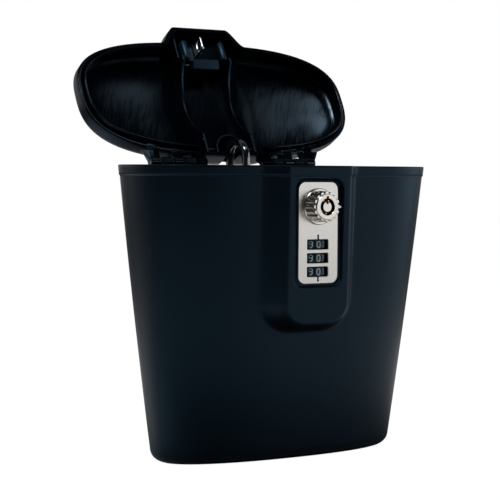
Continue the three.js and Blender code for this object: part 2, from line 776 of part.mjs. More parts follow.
// Cam: it points right while unlocked and turns up through the striker's eye
function latchCam() {
  const y1 = camPlane + camThickness;
  const inner = camFingerRadius;
  const outer = inner + camFingerThickness;
  const lead = radians(camFingerLead);
  const tail = radians(camFingerLead - camFingerSpan);
  const finger = new THREE.Shape();
  finger.absarc(0, 0, outer, tail, lead, false);
  finger.absarc(0, 0, inner, lead, tail, true);
  const barEnd = (inner + outer) / 2;
  const barAngle = tail + radians(camBarLead);
  const bar = block(0, barEnd, camPlane, y1, -camBarWidth / 2, camBarWidth / 2)
    .rotate([0, -THREE.MathUtils.radToDeg(barAngle), 0]);
  const hub = rodAlongY(camHubRadius, camPlane, y1, 0, 0);
  const hole = camSquare / 2 + fit;
  const square = block(-hole, hole, camPlane - overrun, y1 + overrun, -hole, hole);
  return cut(join([plateAlongY(finger, camPlane, y1), bar, hub]), [square]).translate([0, 0, knobAxis]);
}

function camWasher() {
  const y0 = camPlane + camThickness + fit;
  return cut(rodAlongY(washerRadius, y0, y0 + washerThickness, 0, knobAxis),
    [rodAlongY(threadRadius + fit, y0 - overrun, y0 + washerThickness + overrun, 0, knobAxis, smallSides)]);
}

function camNut() {
  const y0 = camPlane + camThickness + washerThickness + fit * 2;
  return cut(rodAlongY(nutWidth / Math.sqrt(3), y0, y0 + nutThickness, 0, knobAxis, 6),
    [rodAlongY(threadRadius + fit, y0 - overrun, y0 + nutThickness + overrun, 0, knobAxis, smallSides)]);
}

// Lid, modelled closed. Cross-sections stand side by side along X; v runs from -1 at the front edge to
// 1 at the back edge of each one.
function lidSection(x, inset, bottom) {
  const halfWidth = lidHalfWidth - inset;
  const frontWall = ovalDepth(x, halfWidth, lidFrontDepth - inset, lidFrontSquareness);
  const band = pilasterShare(Math.abs(x) + lidTabSetIn, rim, inset);
  const front = mix(frontWall, pilasterFace(rim) - inset, band);
  const back = ovalDepth(x, halfWidth, rimHalfDepth - inset, lidBackSquareness);
  const across = Math.min(Math.abs(x) / halfWidth, 1) ** lidBackSquareness;
  const section = [];
  for (let i = 0; i <= domeSteps; i += 1) {
    const v = Math.sin(mix(-Math.PI / 2, Math.PI / 2, i / domeSteps));
    const edge = (across + Math.abs(v) ** lidBackSquareness * (1 - across)) ** (1 / lidBackSquareness);
    const dome = (domeRise - inset) * (1 - Math.min(edge, 1) ** domeSquareness) ** (1 / domeSquareness);
    const raised = (bandRise - inset) * (1 - Math.abs(v) ** bandSquareness) ** (1 / bandSquareness);
    section.push(new THREE.Vector3(x, v < 0 ? v * front : v * back, skirtTop + mix(dome, raised, band)));
  }
  section.push(new THREE.Vector3(x, back, bottom));
  section.push(new THREE.Vector3(x, -front, bottom));
  return section;
}

// Places along X for those sections, closer together at the flanks and the round ends
function lidVolume(inset, bottom) {
  const halfWidth = lidHalfWidth - inset;
  const ends = Array.from({ length: endSteps }, (_, i) => {
    const share = Math.sin(((i + 1) / endSteps) * lastEndShare * Math.PI / 2);
    return mix(flankEnd, halfWidth, share);
  });
  const half = [...frontStations, ...ends];
  const stations = [...half.slice(1).reverse().map((x) => -x), ...half];
  return loft(stations.map((x) => lidSection(x, inset, bottom)), fromRight);
}

// Locating bead that stands inside the case's rim when the lid is shut
function beadRing(inset, z0, z1) {
  return loft([ovalRing(lidOval, z0, inset), ovalRing(lidOval, z1, inset)], fromAbove);
}

// The bead keeps inside both the lid's own outline and the case's, which differ at the corners
function beadCore(inset, z0, z1) {
  const inCase = loft([z0, z1].map((z) => ovalRing(bodyOval(rim), z, inset)), fromAbove);
  return beadRing(inset, z0, z1).intersect(inCase);
}

function lidBead() {
  const outer = bodyWall + fit * 2;
  const flange = beadRing(lidWall - fit, skirtTop - beadFlange, skirtTop);
  const lip = beadCore(outer, lidBottom - beadReach, skirtTop - fit);
  const hollow = beadCore(outer + beadThickness, lidBottom - beadReach - overrun, skirtTop + overrun);
  const past = rimHalfDepth + overrun;
  const bounds = [lidBottom - beadReach - overrun, skirtTop + overrun];
  return cut(join([flange, lip]), [
    hollow,
    block(-flankEnd, flankEnd, -past - pilasterRimStand, -rimHalfDepth / 2, ...bounds),
    block(-beadRearGap, beadRearGap, rimHalfDepth / 2, past, ...bounds),
  ]);
}

// Hinge arm of the lid: from its barrel to the back wall above it
function armOutline(x0, x1) {
  const wall = backWallAt(Math.max(Math.abs(x0), Math.abs(x1))) - lidWall / 2;
  return outlineThrough([
    [wall, lidBottom],
    [hingeY - knuckleRadius * armRootShare, lidBottom],
    [hingeY, hingeZ - knuckleRadius * armNoseShare],
    [hingeY + knuckleRadius * armTopShare, hingeZ + knuckleRadius * armTopShare],
    [wall + lidWall / 2, skirtTop + hingeArm],
    [wall, skirtTop + hingeArm],
  ]);
}

// The cable's arch stays inside this distance of the hinge line, at every angle of the lid
const archReach = Math.hypot(hingeY - archCentreY, hingeZ - archCentreZ) + archRadius + cableRadius;
const notchHalfWidth = cableRadius + cableNotchRoom;

function cableNotch() {
  return rodAlongX(archReach + fit * 2, -notchHalfWidth, notchHalfWidth, hingeY, hingeZ, roundSides * 2);
}

function lidShell() {
  const arms = knuckleSpans(true).map(([x0, x1]) => join([
    rodAlongX(knuckleRadius, x0, x1, hingeY, hingeZ),
    plateAlongX(armOutline(x0, x1), x0, x1),
  ]));
  const gussets = [-1, 1].map((side) => {
    const near = hingeEnd - knuckleLength / 2;
    const far = hingeEnd + endGusset;
    const root = rimHalfDepth - gussetSink;
    const outline = outlineThrough([[near, hingeY], [hingeEnd, hingeY], [far, root], [near, root]]);
    const web = plateAlongZ(outline, lidBottom, lidBottom + hingeArm);
    return side > 0 ? web : web.mirror([1, 0, 0]);
  });
  const hollow = lidVolume(lidWall, lidBottom - overrun);
  const shell = cut(join([lidVolume(0, lidBottom), ...arms, ...gussets]), [hollow]);
  const clearance = knuckleSpans(false).map(([x0, x1]) => rodAlongX(
    knuckleRadius + fit * 2, x0 - knuckleGap / 2, x1 + knuckleGap / 2, hingeY, hingeZ));
  return cut(join([shell, lidBead()]), [...hingeBores(), ...clearance, cableNotch()]);
}

// Insert: two scooped ribs, a ledge, two lugs, the cable's pocket and the striker's seat
function ribOutline() {
  const radius = ((scoopSpan / 2) ** 2 + scoopHeight ** 2) / (2 * scoopHeight);
  const half = Math.asin((scoopSpan / 2) / radius);
  const past = rimHalfDepth + pilasterRimStand;
  const top = skirtTop + bandRise;
  const step = scoopCentre - scoopSpan / 2 - ribFootLength;
  const shape = new THREE.Shape();
  shape.moveTo(-past, lidBottom + fit + ribFrontRise);
  shape.lineTo(step, lidBottom + fit + ribFrontRise);
  shape.lineTo(step, lidBottom + fit);
  shape.lineTo(scoopCentre - scoopSpan / 2, lidBottom + fit);
  shape.absarc(scoopCentre, lidBottom + fit + scoopHeight - radius, radius,
    Math.PI / 2 + half, Math.PI / 2 - half, true);
  shape.lineTo(rimHalfDepth, lidBottom + fit);
  shape.lineTo(rimHalfDepth, top);
  shape.lineTo(-past, top);
  return shape;
}

const pocketFront = hingeY - archReach - fit * 2 - pocketWall;

function cablePocket(top) {
  const steps = smallSides;
  const bend = (halfWidth, front) => {
    const arc = Array.from({ length: steps + 1 }, (_, i) => {
      const angle = -(i / steps) * Math.PI;
      return [halfWidth * Math.cos(angle), front + halfWidth + halfWidth * Math.sin(angle)];
    });
    return outlineThrough([[halfWidth, rimHalfDepth], ...arc, [-halfWidth, rimHalfDepth]]);
  };
  const outer = plateAlongZ(bend(pocketHalfWidth, pocketFront), lidBottom + fit, top);
  const inner = plateAlongZ(bend(pocketHalfWidth - pocketWall, pocketFront + pocketWall),
    lidBottom - overrun, top + overrun);
  return cut(outer, [inner]);
}

function lidInsert() {
  const top = skirtTop + bandRise;
  const low = lidBottom + fit;
  const ribs = [-1, 1].map((side) => plateAlongX(ribOutline(),
    side * ribHalfSpacing - ribThickness / 2, side * ribHalfSpacing + ribThickness / 2));
  const ledge = plateAlongX(outlineThrough([
    [-ledgeFront, rim + ledgeRise],
    [-ledgeFront + ledgeDepth, rim + ledgeRise + ledgeHeight / 2],
    [-ledgeFront + ledgeDepth, rim + ledgeRise + ledgeHeight],
    [-ledgeFront + webThickness, rim + ledgeWallRise + webThickness],
    [-ledgeFront, rim + ledgeWallRise + webThickness],
  ]), -ledgeWidth / 2, ledgeWidth / 2);
  const ledgeWall = block(-ribHalfSpacing, ribHalfSpacing, -ledgeFront, -ledgeFront + webThickness,
    rim + ledgeWallRise, top);
  const [half, lugBack] = [lugWidth / 2, lugLength - lugFront];
  const lugs = [-lugSpacing, lugSpacing].flatMap((x) => [
    rodAlongY(half, -lugFront, lugBack, x, low + half, smallSides),
    block(x - half, x + half, -lugFront, lugBack, low + half, top),
  ]);
  const webs = block(-ribHalfSpacing, ribHalfSpacing, rimHalfDepth - lidWall - webThickness * 3,
    rimHalfDepth - lidWall - webThickness * 2, low + lidSkirt / 2, top);
  const nubs = [-1, 1].map((side) => rodAlongZ(snapNubRadius, low, low + lugWidth,
    side * (ribHalfSpacing + ribThickness / 2), snapNubPlace, smallSides));
  const seatLow = rim + seatRise;
  const seat = block(-ribHalfSpacing, ribHalfSpacing, strikerCentreY - seatLength / 2,
    strikerCentreY + seatLength / 2, seatLow, seatLow + seatThickness);
  const strikerSlot = block(strikerX - strikerThickness / 2 - fit, strikerX + strikerThickness / 2 + fit,
    strikerCentreY - strikerWidth / 2 - fit, strikerCentreY + strikerWidth / 2 + fit,
    seatLow - overrun, seatLow + seatThickness + overrun);
  const pocketInside = block(-(pocketHalfWidth - pocketWall), pocketHalfWidth - pocketWall,
    pocketFront + pocketHalfWidth, rimHalfDepth, lidBottom - overrun, top + overrun);
  const crossed = cut(join([...ribs, ledge, ledgeWall, ...lugs, webs, ...nubs, seat]),
    [pocketInside, strikerSlot]);
  const whole = join([crossed, cablePocket(top)]);
  const room = lidVolume(lidWall + fit, lidBottom - overrun);
  const screwHole = strikerScrewPlaces().map(([x, y]) => rodAlongZ(
    strikerScrewRadius + fit, seatLow - overrun, seatLow + seatThickness + overrun, x, y, smallSides));
  return cut(whole.intersect(room), [cableNotch(), ...screwHole]);
}

// Striker: its foot is screwed down on the seat's far side, and its tongue comes through with an eye
function strikerScrewPlaces() {
  return [-1, 1].map((side) => [strikerX + side * strikerScrewSpacing / 2, strikerCentreY]);
}

const strikerFootLow = rim + seatRise + seatThickness + fit;

function striker() {
  const [y0, y1] = [strikerCentreY - strikerWidth / 2, strikerCentreY + strikerWidth / 2];
  const foot = block(strikerX - strikerFootLength / 2, strikerX + strikerFootLength / 2,
    strikerCentreY - strikerFootWidth / 2, strikerCentreY + strikerFootWidth / 2,
    strikerFootLow, strikerFootLow + strikerThickness);
  const tongue = plateAlongX(roundedOutline(y0, y1, strikerTip, strikerFootLow + strikerThickness / 2,
    strikerThickness), strikerX - strikerThickness / 2, strikerX + strikerThickness / 2);
  const eye = block(strikerX - strikerThickness, strikerX + strikerThickness, y0 + strikerEyeSide,
    y1 - strikerEyeSide, strikerTip + strikerBar, strikerTip + strikerBar + strikerEyeHeight);
  const holes = strikerScrewPlaces().map(([x, y]) => rodAlongZ(
    strikerScrewRadius + fit, strikerFootLow - overrun, strikerFootLow + overrun, x, y, smallSides));
  return cut(join([foot, tongue]), [eye, ...holes]);
}

function strikerScrews() {
  const head = strikerFootLow + strikerThickness + fit / 2;
  return strikerScrewPlaces().map(([x, y]) => join([
    rodAlongZ(strikerScrewRadius, rim + seatRise, head + strikerScrewHeadHeight / 2, x, y, smallSides),
    rodAlongZ(strikerScrewHeadRadius, head, head + strikerScrewHeadHeight, x, y, smallSides),
  ]));
}

function hingePin(side) {
  const ends = [side * (hingeStart + fit), side * (hingeEnd - fit)];
  return rodAlongX(hingePinRadius, Math.min(...ends), Math.max(...ends), hingeY, hingeZ, smallSides);
}

// Tether cable. The route is a list chosen by hand: up the inside of the back wall, over the rim in a
// half circle, down behind the case and along the floor to the coil.
const archAngles = [180, 150, 120, 90, 60, 30, 0];
const cableRoute = [
  [0, 28.9, 68], [0, 29.6, 82], [0, 31.6, 100], [0, 33.6, 122], [0, 34.7, 145], [0, 35, 168],
  ...archAngles.map((angle) => [
    0, archCentreY + archRadius * Math.cos(radians(angle)),
    archCentreZ + archRadius * Math.sin(radians(angle))]),
  [0, 55.2, 168], [0, 55.6, 140], [0, 56, 110], [0, 56.8, 82], [0.3, 57.6, 58], [2.2, 57.8, 38],
  [7.4, 57.4, 20], [16, 56, 7.6], [26, 52.6, 3.2],
];

function sectionCircle(radius, sides) {
  return outlineThrough(Array.from({ length: sides }, (_, i) => {
    const angle = ((i + 0.5) / sides) * Math.PI * 2;
    return [radius * Math.cos(angle), radius * Math.sin(angle)];
  }));
}

function tube(points, radius, sides, steps) {
  const path = new THREE.CatmullRomCurve3(points, false, 'centripetal');
  return solid(new THREE.ExtrudeGeometry(sectionCircle(radius, sides), { extrudePath: path, steps }));
}

function tetherCable() {
  const route = cableRoute.map((p) => new THREE.Vector3(...p));
  const arrivalShares = [3, 1.4, 0];
  const arrival = arrivalShares.map((share) => coilLead(0, -cableRadius * (2 + share) - fit));
  return tube([...route, ...arrival], cableRadius, cableSides, cableSteps);
}

// Stored coil: the turns wind in on the floor, climb a layer where the spiral reverses, and wind out
const coilTurnsIn = coilStepsIn / coilTurnSteps;
const coilLow = cableRadius + fit / 3;
const coilHigh = coilLow + cableRadius * 2 + fit * 2;
const coilAngle = (turn) => radians(coilStartAngle) + turn * Math.PI * 2;

function coilPoint(turn) {
  const inwards = turn < coilTurnsIn ? turn : coilTurnsIn * 2 - turn;
  const radius = coilOuterRadius - coilPitch * inwards;
  const climb = THREE.MathUtils.smoothstep((turn - coilTurnsIn) / coilClimbTurns, -0.5, 0.5);
  return new THREE.Vector3(coilCentreX + radius * Math.cos(coilAngle(turn)),
    coilCentreY + radius * Math.sin(coilAngle(turn)), mix(coilLow, coilHigh, climb));
}

// Both ends run straight on for one diameter
function coilLead(turn, length) {
  const along = new THREE.Vector3(-Math.sin(coilAngle(turn)), Math.cos(coilAngle(turn)), 0);
  return coilPoint(turn).addScaledVector(along, length);
}

function coilPoints() {
  const turns = Array.from({ length: coilStepsIn * 2 + 1 }, (_, i) => coilPoint(i / coilTurnSteps));
  return [coilLead(0, -cableRadius * 2), ...turns, coilLead(coilTurnsIn * 2, cableRadius * 2)];
}

// One unbroken tube whose section follows the points, square to the path at each
function followedTube(points, radius, sides) {
  const rings = points.map((point, i) => {
    const ahead = points[Math.min(i + 1, points.length - 1)];
    const behind = points[Math.max(i - 1, 0)];
    const along = ahead.clone().sub(behind).normalize();
    const across = new THREE.Vector3().crossVectors(along, new THREE.Vector3(0, 0, 1)).normalize();
    const up = new THREE.Vector3().crossVectors(along, across);
    return Array.from({ length: sides }, (_, k) => {
      const angle = (k / sides) * Math.PI * 2;
      return point.clone().addScaledVector(across, radius * Math.cos(angle))
        .addScaledVector(up, radius * Math.sin(angle));
    });
  });
  const spoke = (ring) => ring.map((_, k) => new THREE.Vector2(
    Math.cos((k / sides) * Math.PI * 2), Math.sin((k / sides) * Math.PI * 2)));
  const flat = new Map();
  [rings[0], rings.at(-1)].forEach((ring) => spoke(ring).forEach((p, k) => flat.set(ring[k], p)));
  return loft(rings, (p) => flat.get(p));
}

function leastGap(points, diameter, skip) {
  let least = Infinity;
  for (let i = 0; i < points.length; i += 1) {
    for (let k = i + skip; k < points.length; k += 1) {
      least = Math.min(least, points[i].distanceTo(points[k]));
    }
  }
  return least - diameter;
}

// Free end: it leaves the top of the coil and comes down until its ferrule lies on the floor
const ferruleLevel = ferruleRadius + fit / 3;

function tailPoints() {
  const end = coilPoints().at(-1);
  return Array.from({ length: tailSteps + 1 }, (_, i) => {
    const share = i / tailSteps;
    const down = THREE.MathUtils.smoothstep(share, tailLevelShare, 1 - tailLevelShare);
    return new THREE.Vector3(end.x - fit - share * tailRun, end.y, mix(coilHigh, ferruleLevel, down));
  });
}

function ferrule(from, along) {
  const to = from.clone().addScaledVector(along, ferruleLength);
  return followedTube([from, to], ferruleRadius, smallSides);
}

// Eye at the free end: one loop of the cable that widens to a half circle, with both legs in the ferrule
function tetherEye(from) {
  const half = Array.from({ length: eyeSteps * 2 + 1 }, (_, i) => {
    if (i <= eyeSteps) {
      const wide = THREE.MathUtils.smoothstep(i / eyeSteps, 0, 1);
      return new THREE.Vector3(-eyeLength * i / eyeSteps, mix(cableRadius, eyeRadius, wide), 0);
    }
    const angle = (Math.PI / 2) * (i - eyeSteps) / eyeSteps;
    return new THREE.Vector3(-eyeLength - eyeRadius * Math.sin(angle), eyeRadius * Math.cos(angle), 0);
  });
  const back = half.slice(0, -1).reverse().map((p) => new THREE.Vector3(p.x, -p.y, p.z));
  return followedTube([...half, ...back].map((p) => p.add(from)), eyeCableRadius, coilSides);
}

// Assembly
const group = new THREE.Group();

function place(name, shape, finishName, parent = group) {
  const mesh = new THREE.Mesh(geometry(shape), finish(finishName));
  mesh.name = name;
  parent.add(mesh);
}

function placeEach(name, shapes, finishName, parent = group) {
  shapes.forEach((shape, i) => place(`${name}_${i + 1}`, shape, finishName, parent));
}

place('body_shell', bodyShell(), 'casing');
place('lock_faceplate', faceplate(), 'nickel');
place('knob', knob(), 'nickel');
place('key_rotor', keyRotor(), 'keyway');
placeEach('key_pin', keyPins(), 'brass');
place('lock_case', lockCase(), 'innerPlastic');
placeEach('case_screw', caseScrews(), 'steel');
placeEach('number_wheel', wheelLevels.map(numberWheel), 'wheel');
place('wheel_spindle', wheelSpindle(), 'steel');
place('detent_spring', detentSpring(), 'steel');
place('latch_cam', latchCam(), 'steel');
place('cam_washer', camWasher(), 'steel');
place('cam_nut', camNut(), 'steel');
place('hinge_pin_left', hingePin(-1), 'steel');
place('hinge_pin_right', hingePin(1), 'steel');

// The lid and what it carries are modelled shut, then turned back about the hinge line
const openLid = new THREE.Group();
openLid.position.set(0, hingeY, hingeZ);
openLid.rotation.x = radians(-lidOpenAngle);
const shutLid = new THREE.Group();
shutLid.position.set(0, -hingeY, -hingeZ);
openLid.add(shutLid);
group.add(openLid);
place('lid_shell', lidShell(), 'lidPlastic', shutLid);
place('lid_insert', lidInsert(), 'lidPlastic', shutLid);
place('striker', striker(), 'chrome', shutLid);
placeEach('striker_screw', strikerScrews(), 'steel', shutLid);

const coil = coilPoints();
const tail = tailPoints();
const eyeStart = tail.at(-1).clone().add(new THREE.Vector3(-fit, 0, 0));
const stopStart = new THREE.Vector3(...cableRoute[0]);
const stopAlong = stopStart.clone().sub(new THREE.Vector3(...cableRoute[1])).normalize();
place('tether_cable', tetherCable(), 'cable');
place('tether_coil', followedTube(coil, cableRadius, coilSides), 'cable');
place('tether_tail', tube(tail, cableRadius, cableSides, tailSteps), 'cable');
place('stop_ferrule', ferrule(stopStart.addScaledVector(stopAlong, fit), stopAlong), 'ferrule');
place('eye_ferrule', ferrule(eyeStart, new THREE.Vector3(-1, 0, 0)), 'ferrule');
place('tether_eye', tetherEye(eyeStart.clone().add(new THREE.Vector3(-ferruleLength - fit, 0, 0))), 'cable');
console.log('least gap in the coil', leastGap(coil, cableRadius * 2, coilTurnSteps / 2).toFixed(2));

export default group;
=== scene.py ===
"""Portable car safe standing open: the looks of its case, lid, lock and tether cable.
Lengths of the object are in millimetres, and turned to metres where a mesh, a curve or a node takes them.
The studio round it is in metres."""
import math
import bmesh
import bpy
import numpy as np
from mathutils import Matrix, Vector


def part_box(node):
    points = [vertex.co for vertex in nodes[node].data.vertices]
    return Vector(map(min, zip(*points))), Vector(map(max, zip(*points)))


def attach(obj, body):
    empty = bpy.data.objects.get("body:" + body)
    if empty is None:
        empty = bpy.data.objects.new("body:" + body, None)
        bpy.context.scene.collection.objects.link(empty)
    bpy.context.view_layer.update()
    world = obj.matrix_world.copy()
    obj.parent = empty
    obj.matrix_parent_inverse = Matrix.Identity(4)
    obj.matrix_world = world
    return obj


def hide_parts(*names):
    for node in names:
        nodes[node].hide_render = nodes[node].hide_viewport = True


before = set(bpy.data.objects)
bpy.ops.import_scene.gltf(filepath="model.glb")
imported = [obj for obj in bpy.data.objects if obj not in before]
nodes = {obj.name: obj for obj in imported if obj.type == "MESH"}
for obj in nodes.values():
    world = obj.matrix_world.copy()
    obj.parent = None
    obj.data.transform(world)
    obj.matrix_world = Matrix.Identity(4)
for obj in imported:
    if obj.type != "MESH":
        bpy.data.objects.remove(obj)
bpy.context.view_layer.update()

MM = 0.001

# Camera: its place and its direction in degrees, and the photograph's focal length and width in pixels
CAMERA_PLACE = (-509.84, -819.71, 173.97)
CAMERA_AZIMUTH, CAMERA_ELEVATION, CAMERA_ROLL = 30.99, -2.779, 0.327
PHOTO_FOCAL, PHOTO_WIDTH, FILM_WIDTH = 1539.85, 500, 36
CLIP_NEAR, CLIP_FAR = 0.05, 20

# Case
BODY_HEIGHT = 180.0
RIM_HALF_WIDTH, RIM_FRONT, RIM_BACK = 103.5, 42.5, 45.5
BASE_HALF_WIDTH, BASE_HALF_DEPTH = 83.5, 31.0
BODY_WALL, FLOOR = 3.0, 3.2
BASE_EDGE = 7.0
SIDE_BOW = 0.038
RIM_BAND, RIM_STEP, BAND_BLEND = 6.0, 0.45, 0.5
RIM_ROUND, RIM_INNER_ROUND = 0.5, 0.4
INSIDE_BASE = 20.0
FRONT_SQUARE, BACK_SQUARE, BASE_SQUARE = 3.2, 2.5, 2.3

# Pilaster and recess
PILASTER_HALF, PILASTER_LENGTH, PILASTER_CORNER = 21.0, 95.0, 13.0
SIDE_FLANK, FOOT_FLANK = 12.5, 6.0
RIM_STAND, FOOT_STAND = 10.0, 12.7
FLANK_END = PILASTER_HALF + SIDE_FLANK
RECESS_PLANE = -(RIM_FRONT + 6.2)
RECESS_BACK = RECESS_PLANE + BODY_WALL
PLATE_WIDTH, PLATE_HEIGHT, PLATE_THICK, PLATE_CORNER = 28.2, 61.0, 1.5, 4.8
PLATE_TOP = BODY_HEIGHT - 9.7
PLATE_BOTTOM = PLATE_TOP - PLATE_HEIGHT
PLATE_FRONT = RECESS_PLANE - PLATE_THICK
RECESS_HALF, RECESS_CORNER = PLATE_WIDTH / 2 + 2.2, 6.0
RECESS_LOW, RECESS_HIGH = PLATE_BOTTOM - 1.3, PLATE_TOP + 0.9
RECESS_SLOPE = 1.35

# Lock plate, wheels and their windows
PLATE_EDGE = 0.28
WHEEL_RADIUS, WHEEL_HEIGHT, WHEEL_PITCH = 7.9, 5.0, 8.2
WHEEL_PROUD, WHEEL_GROOVE = 0.5, 0.5
WHEEL_HUB, WHEEL_HUB_REACH, WHEEL_BORE = 4.2, 3.95, 2.2
WHEEL_EDGE, WHEEL_EDGE_HEIGHT, WHEEL_FACE_DEPTH = 0.35, 0.3, 2.0
DIGITS, STEPS_PER_DIGIT, GROOVE_STEPS = 10, 24, 1.6
WINDOW_WIDTH, WINDOW_HEIGHT, WINDOW_SHIFT, WINDOW_CORNER = 15.0, 5.9, -0.3, 0.4
INDEX_WIDTH, INDEX_LENGTH, INDEX_DEPTH = 1.2, 3.0, 0.3
WHEELS_Z = BODY_HEIGHT - 55.4
WHEEL_AXIS = PLATE_FRONT - WHEEL_PROUD + WHEEL_RADIUS
WHEEL_LEVELS = [WHEELS_Z + step * WHEEL_PITCH for step in (1, 0, -1)]
DIGIT_HEIGHT, DIGIT_WIDTH, DIGIT_STROKE, DIGIT_SPACING = 4.3, 2.7, 0.55, 0.3
INK_STAND = 0.03

# Knob and key plug
KNOB_Z = BODY_HEIGHT - 24.5
KNOB_FACE = PLATE_FRONT - 10.0
KNOB_BACK = PLATE_FRONT - 0.3
KNOB_BORE, KNOB_TOOTH_STEP = 4.3, 0.15
KNOB_RADIUS, NOSE_RADIUS, FLANGE_RADIUS, FLANGE_THICK = 9.2, 7.7, 10.85, 1.5
FLUTES, FLUTE_DEPTH, FLUTE_SHARPNESS, FLUTE_STEPS, NOSE_LENGTH = 16, 1.1, 2.2, 20, 0.8
POINTER_REACH, POINTER_LENGTH, POINTER_HALF, POINTER_EDGE = 1.1, 3.4, 0.7, 0.35
SHAFT_RADIUS, SHAFT_LENGTH, THREAD_RADIUS = 4.0, 11.0, 2.5
SQUARE_HALF, SQUARE_START, SQUARE_END = 2.8, 10.0, 12.4
THREAD_START, THREAD_CHAMFER = 12.3, 0.3
KEYWAY_RADIUS, POST_RADIUS, KEYWAY_DEPTH, KEYWAY_EDGE = 5.0, 3.15, 3.0, 0.15
KEY_NOTCH_HALF, KEY_NOTCH_REACH, KEY_NOTCH_INWARD = 0.8, 1.3, 1.5
PLUG_GAP, PLUG_SET_IN, PLUG_EDGE, PLUG_LENGTH = 0.3, 0.3, 0.25, 7.6
KEY_PINS = 7

# Lid, written as it lies shut
LID_GAP, LID_SKIRT, LID_WALL = 0.3, 6.0, 2.5
LID_HALF_WIDTH, LID_FRONT = 100.0, 40.2
LID_SQUARE, DOME_RISE, BAND_RISE = 2.8, 12.5, 15.2
DOME_SQUARE, BAND_SQUARE, LID_TAB_SET_IN = 3.0, 4.5, 1.3
LID_LOW = BODY_HEIGHT + LID_GAP
SKIRT_TOP = LID_LOW + LID_SKIRT
SKIRT_STRAIGHT, LID_OUTER_EDGE, LID_INNER_EDGE = 2.0, 0.6, 0.5
OPEN_ANGLE = math.radians(118.75)

# Lip inside the lid's rim: gaps at front and back, and (inset, height) round its section
BEAD_FRONT_GAP, BEAD_REAR_GAP = 33.5, 25.0
BEAD = [(2.2, SKIRT_TOP), (2.2, 183.5), (2.45, 183.2), (3.3, 183.2), (3.6, 182.9), (3.6, 178.3),
        (3.75, 177.85), (4.1, 177.7), (4.6, 177.7), (4.95, 177.85), (5.1, 178.3), (5.1, SKIRT_TOP)]

# Insert inside the lid
INSERT_LOW = LID_LOW + 0.3
INSERT_EDGE, ROOF_OVERLAP = 0.5, 1.3
RIB_X, RIB_THICK = 18.0, 1.8
SCOOP_SPAN, SCOOP_HEIGHT, SCOOP_CENTRE = 56.0, 13.5, 1.0
RIB_FRONT_RISE, RIB_STEP, RIB_STEP_BLEND = 5.5, -31.0, 1.4
RIB_FRONT_END, RIB_BACK_END = -(RIM_FRONT + RIM_STAND - 1.4), RIM_BACK - 1.3
POCKET_HALF, POCKET_WALL, POCKET_GAP = 10.35, 1.3, 0.6
LEDGE_HALF, LEDGE_FRONT, LEDGE_EDGE = 9.7, -29.0, 0.5
LEDGE_WALL_BACK, LEDGE_WALL_LOW, LEDGE_WALL_TOP = -27.5, 189.0, 199.5
LUG_X, LUG_Y, LUG_RADIUS, LUG_HALF_LENGTH = 14.2, -36.0, 2.4, 7.0
LUG_WEB_FRONT, LUG_WEB_BACK, LUG_WEB_TOP = -42.6, -29.4, 197.6
NUB_Y, NUB_RADIUS, NUB_HEIGHT = 34.0, 1.2, 4.0
REAR_WEB_Y, REAR_WEB_THICK, REAR_WEB_INNER = RIM_BACK - LID_WALL - 4.5, 1.5, 10.4
REAR_WEB_LOW, REAR_WEB_TOP = INSERT_LOW + 3, 196.0
WEB_EDGE = 0.3

# Striker and its seat
SEAT_LOW, SEAT_HIGH, SEAT_REACH, SEAT_EDGE = BODY_HEIGHT + 10.0, BODY_HEIGHT + 13.0, 7.5, 0.25
STRIKER_X, STRIKER_Y, STRIKER_HALF, STRIKER_REACH = -2.7, RECESS_BACK + 6.1, 0.8, 5.0
STRIKER_GAP, STRIKER_TIP, STRIKER_CORNER, STRIKER_EDGE = 0.3, BODY_HEIGHT - 2.4, 1.6, 0.4
EYE_REACH, EYE_LOW, EYE_HIGH, EYE_CORNER = 3.1, 1.7, 6.7, 0.9
FOOT_HALF_WIDTH, FOOT_REACH, FOOT_THICK, FOOT_CORNER = 8.0, 4.0, 1.6, 0.5
FOOT_OVERLAP, SCREW_X, SCREW_RADIUS = 0.8, 5.2, 1.5

# Hinges
HINGE_Y, HINGE_Z = RIM_BACK + 4.5, BODY_HEIGHT + 2.3
KNUCKLES = 5
KNUCKLE_START, KNUCKLE_LENGTH, KNUCKLE_GAP, KNUCKLE_RADIUS = 21.0, 7.4, 1.0, 3.1
KNUCKLE_BORE, KNUCKLE_EDGE, HINGE_EDGE = 1.5, 0.45, 0.35
HINGE_END = KNUCKLE_START + KNUCKLES * (KNUCKLE_LENGTH + KNUCKLE_GAP) - KNUCKLE_GAP
BRACKET_DROP, BRACKET_REACH, BRACKET_TOP = 11.3, 7.0, 0.77
BRACKET_UNDER_RIM, ARM_ON_SKIRT = 0.6, 2.6
WEB_REACH, WEB_BACK, WEB_THICK, HINGE_WEB_EDGE = 4.5, RIM_BACK * 0.93, 2.6, 0.4

# Tether cable
CABLE_RADIUS = 2.75
ARCH_RADIUS, ARCH_Y, ARCH_Z = 10.0, HINGE_Y - 5.0, BODY_HEIGHT + 5.0
ARCH_REACH = math.hypot(HINGE_Y - ARCH_Y, HINGE_Z - ARCH_Z) + ARCH_RADIUS + CABLE_RADIUS
COIL_X, COIL_Y, COIL_RADIUS, COIL_PITCH = 64.0, 72.2, 36.0, 6.0
COIL_STEPS, COIL_STEPS_IN, COIL_START = 24, 55, math.radians(-120)
COIL_LOW = CABLE_RADIUS + 0.1
COIL_HIGH = COIL_LOW + 2 * CABLE_RADIUS + 0.6
TAIL_RUN, FERRULE_LEVEL = 36.0, 4.5
JOINT_GAP, CABLE_SPACING, COIL_POINTS, TAIL_POINTS = 0.3, 2, 96, 12

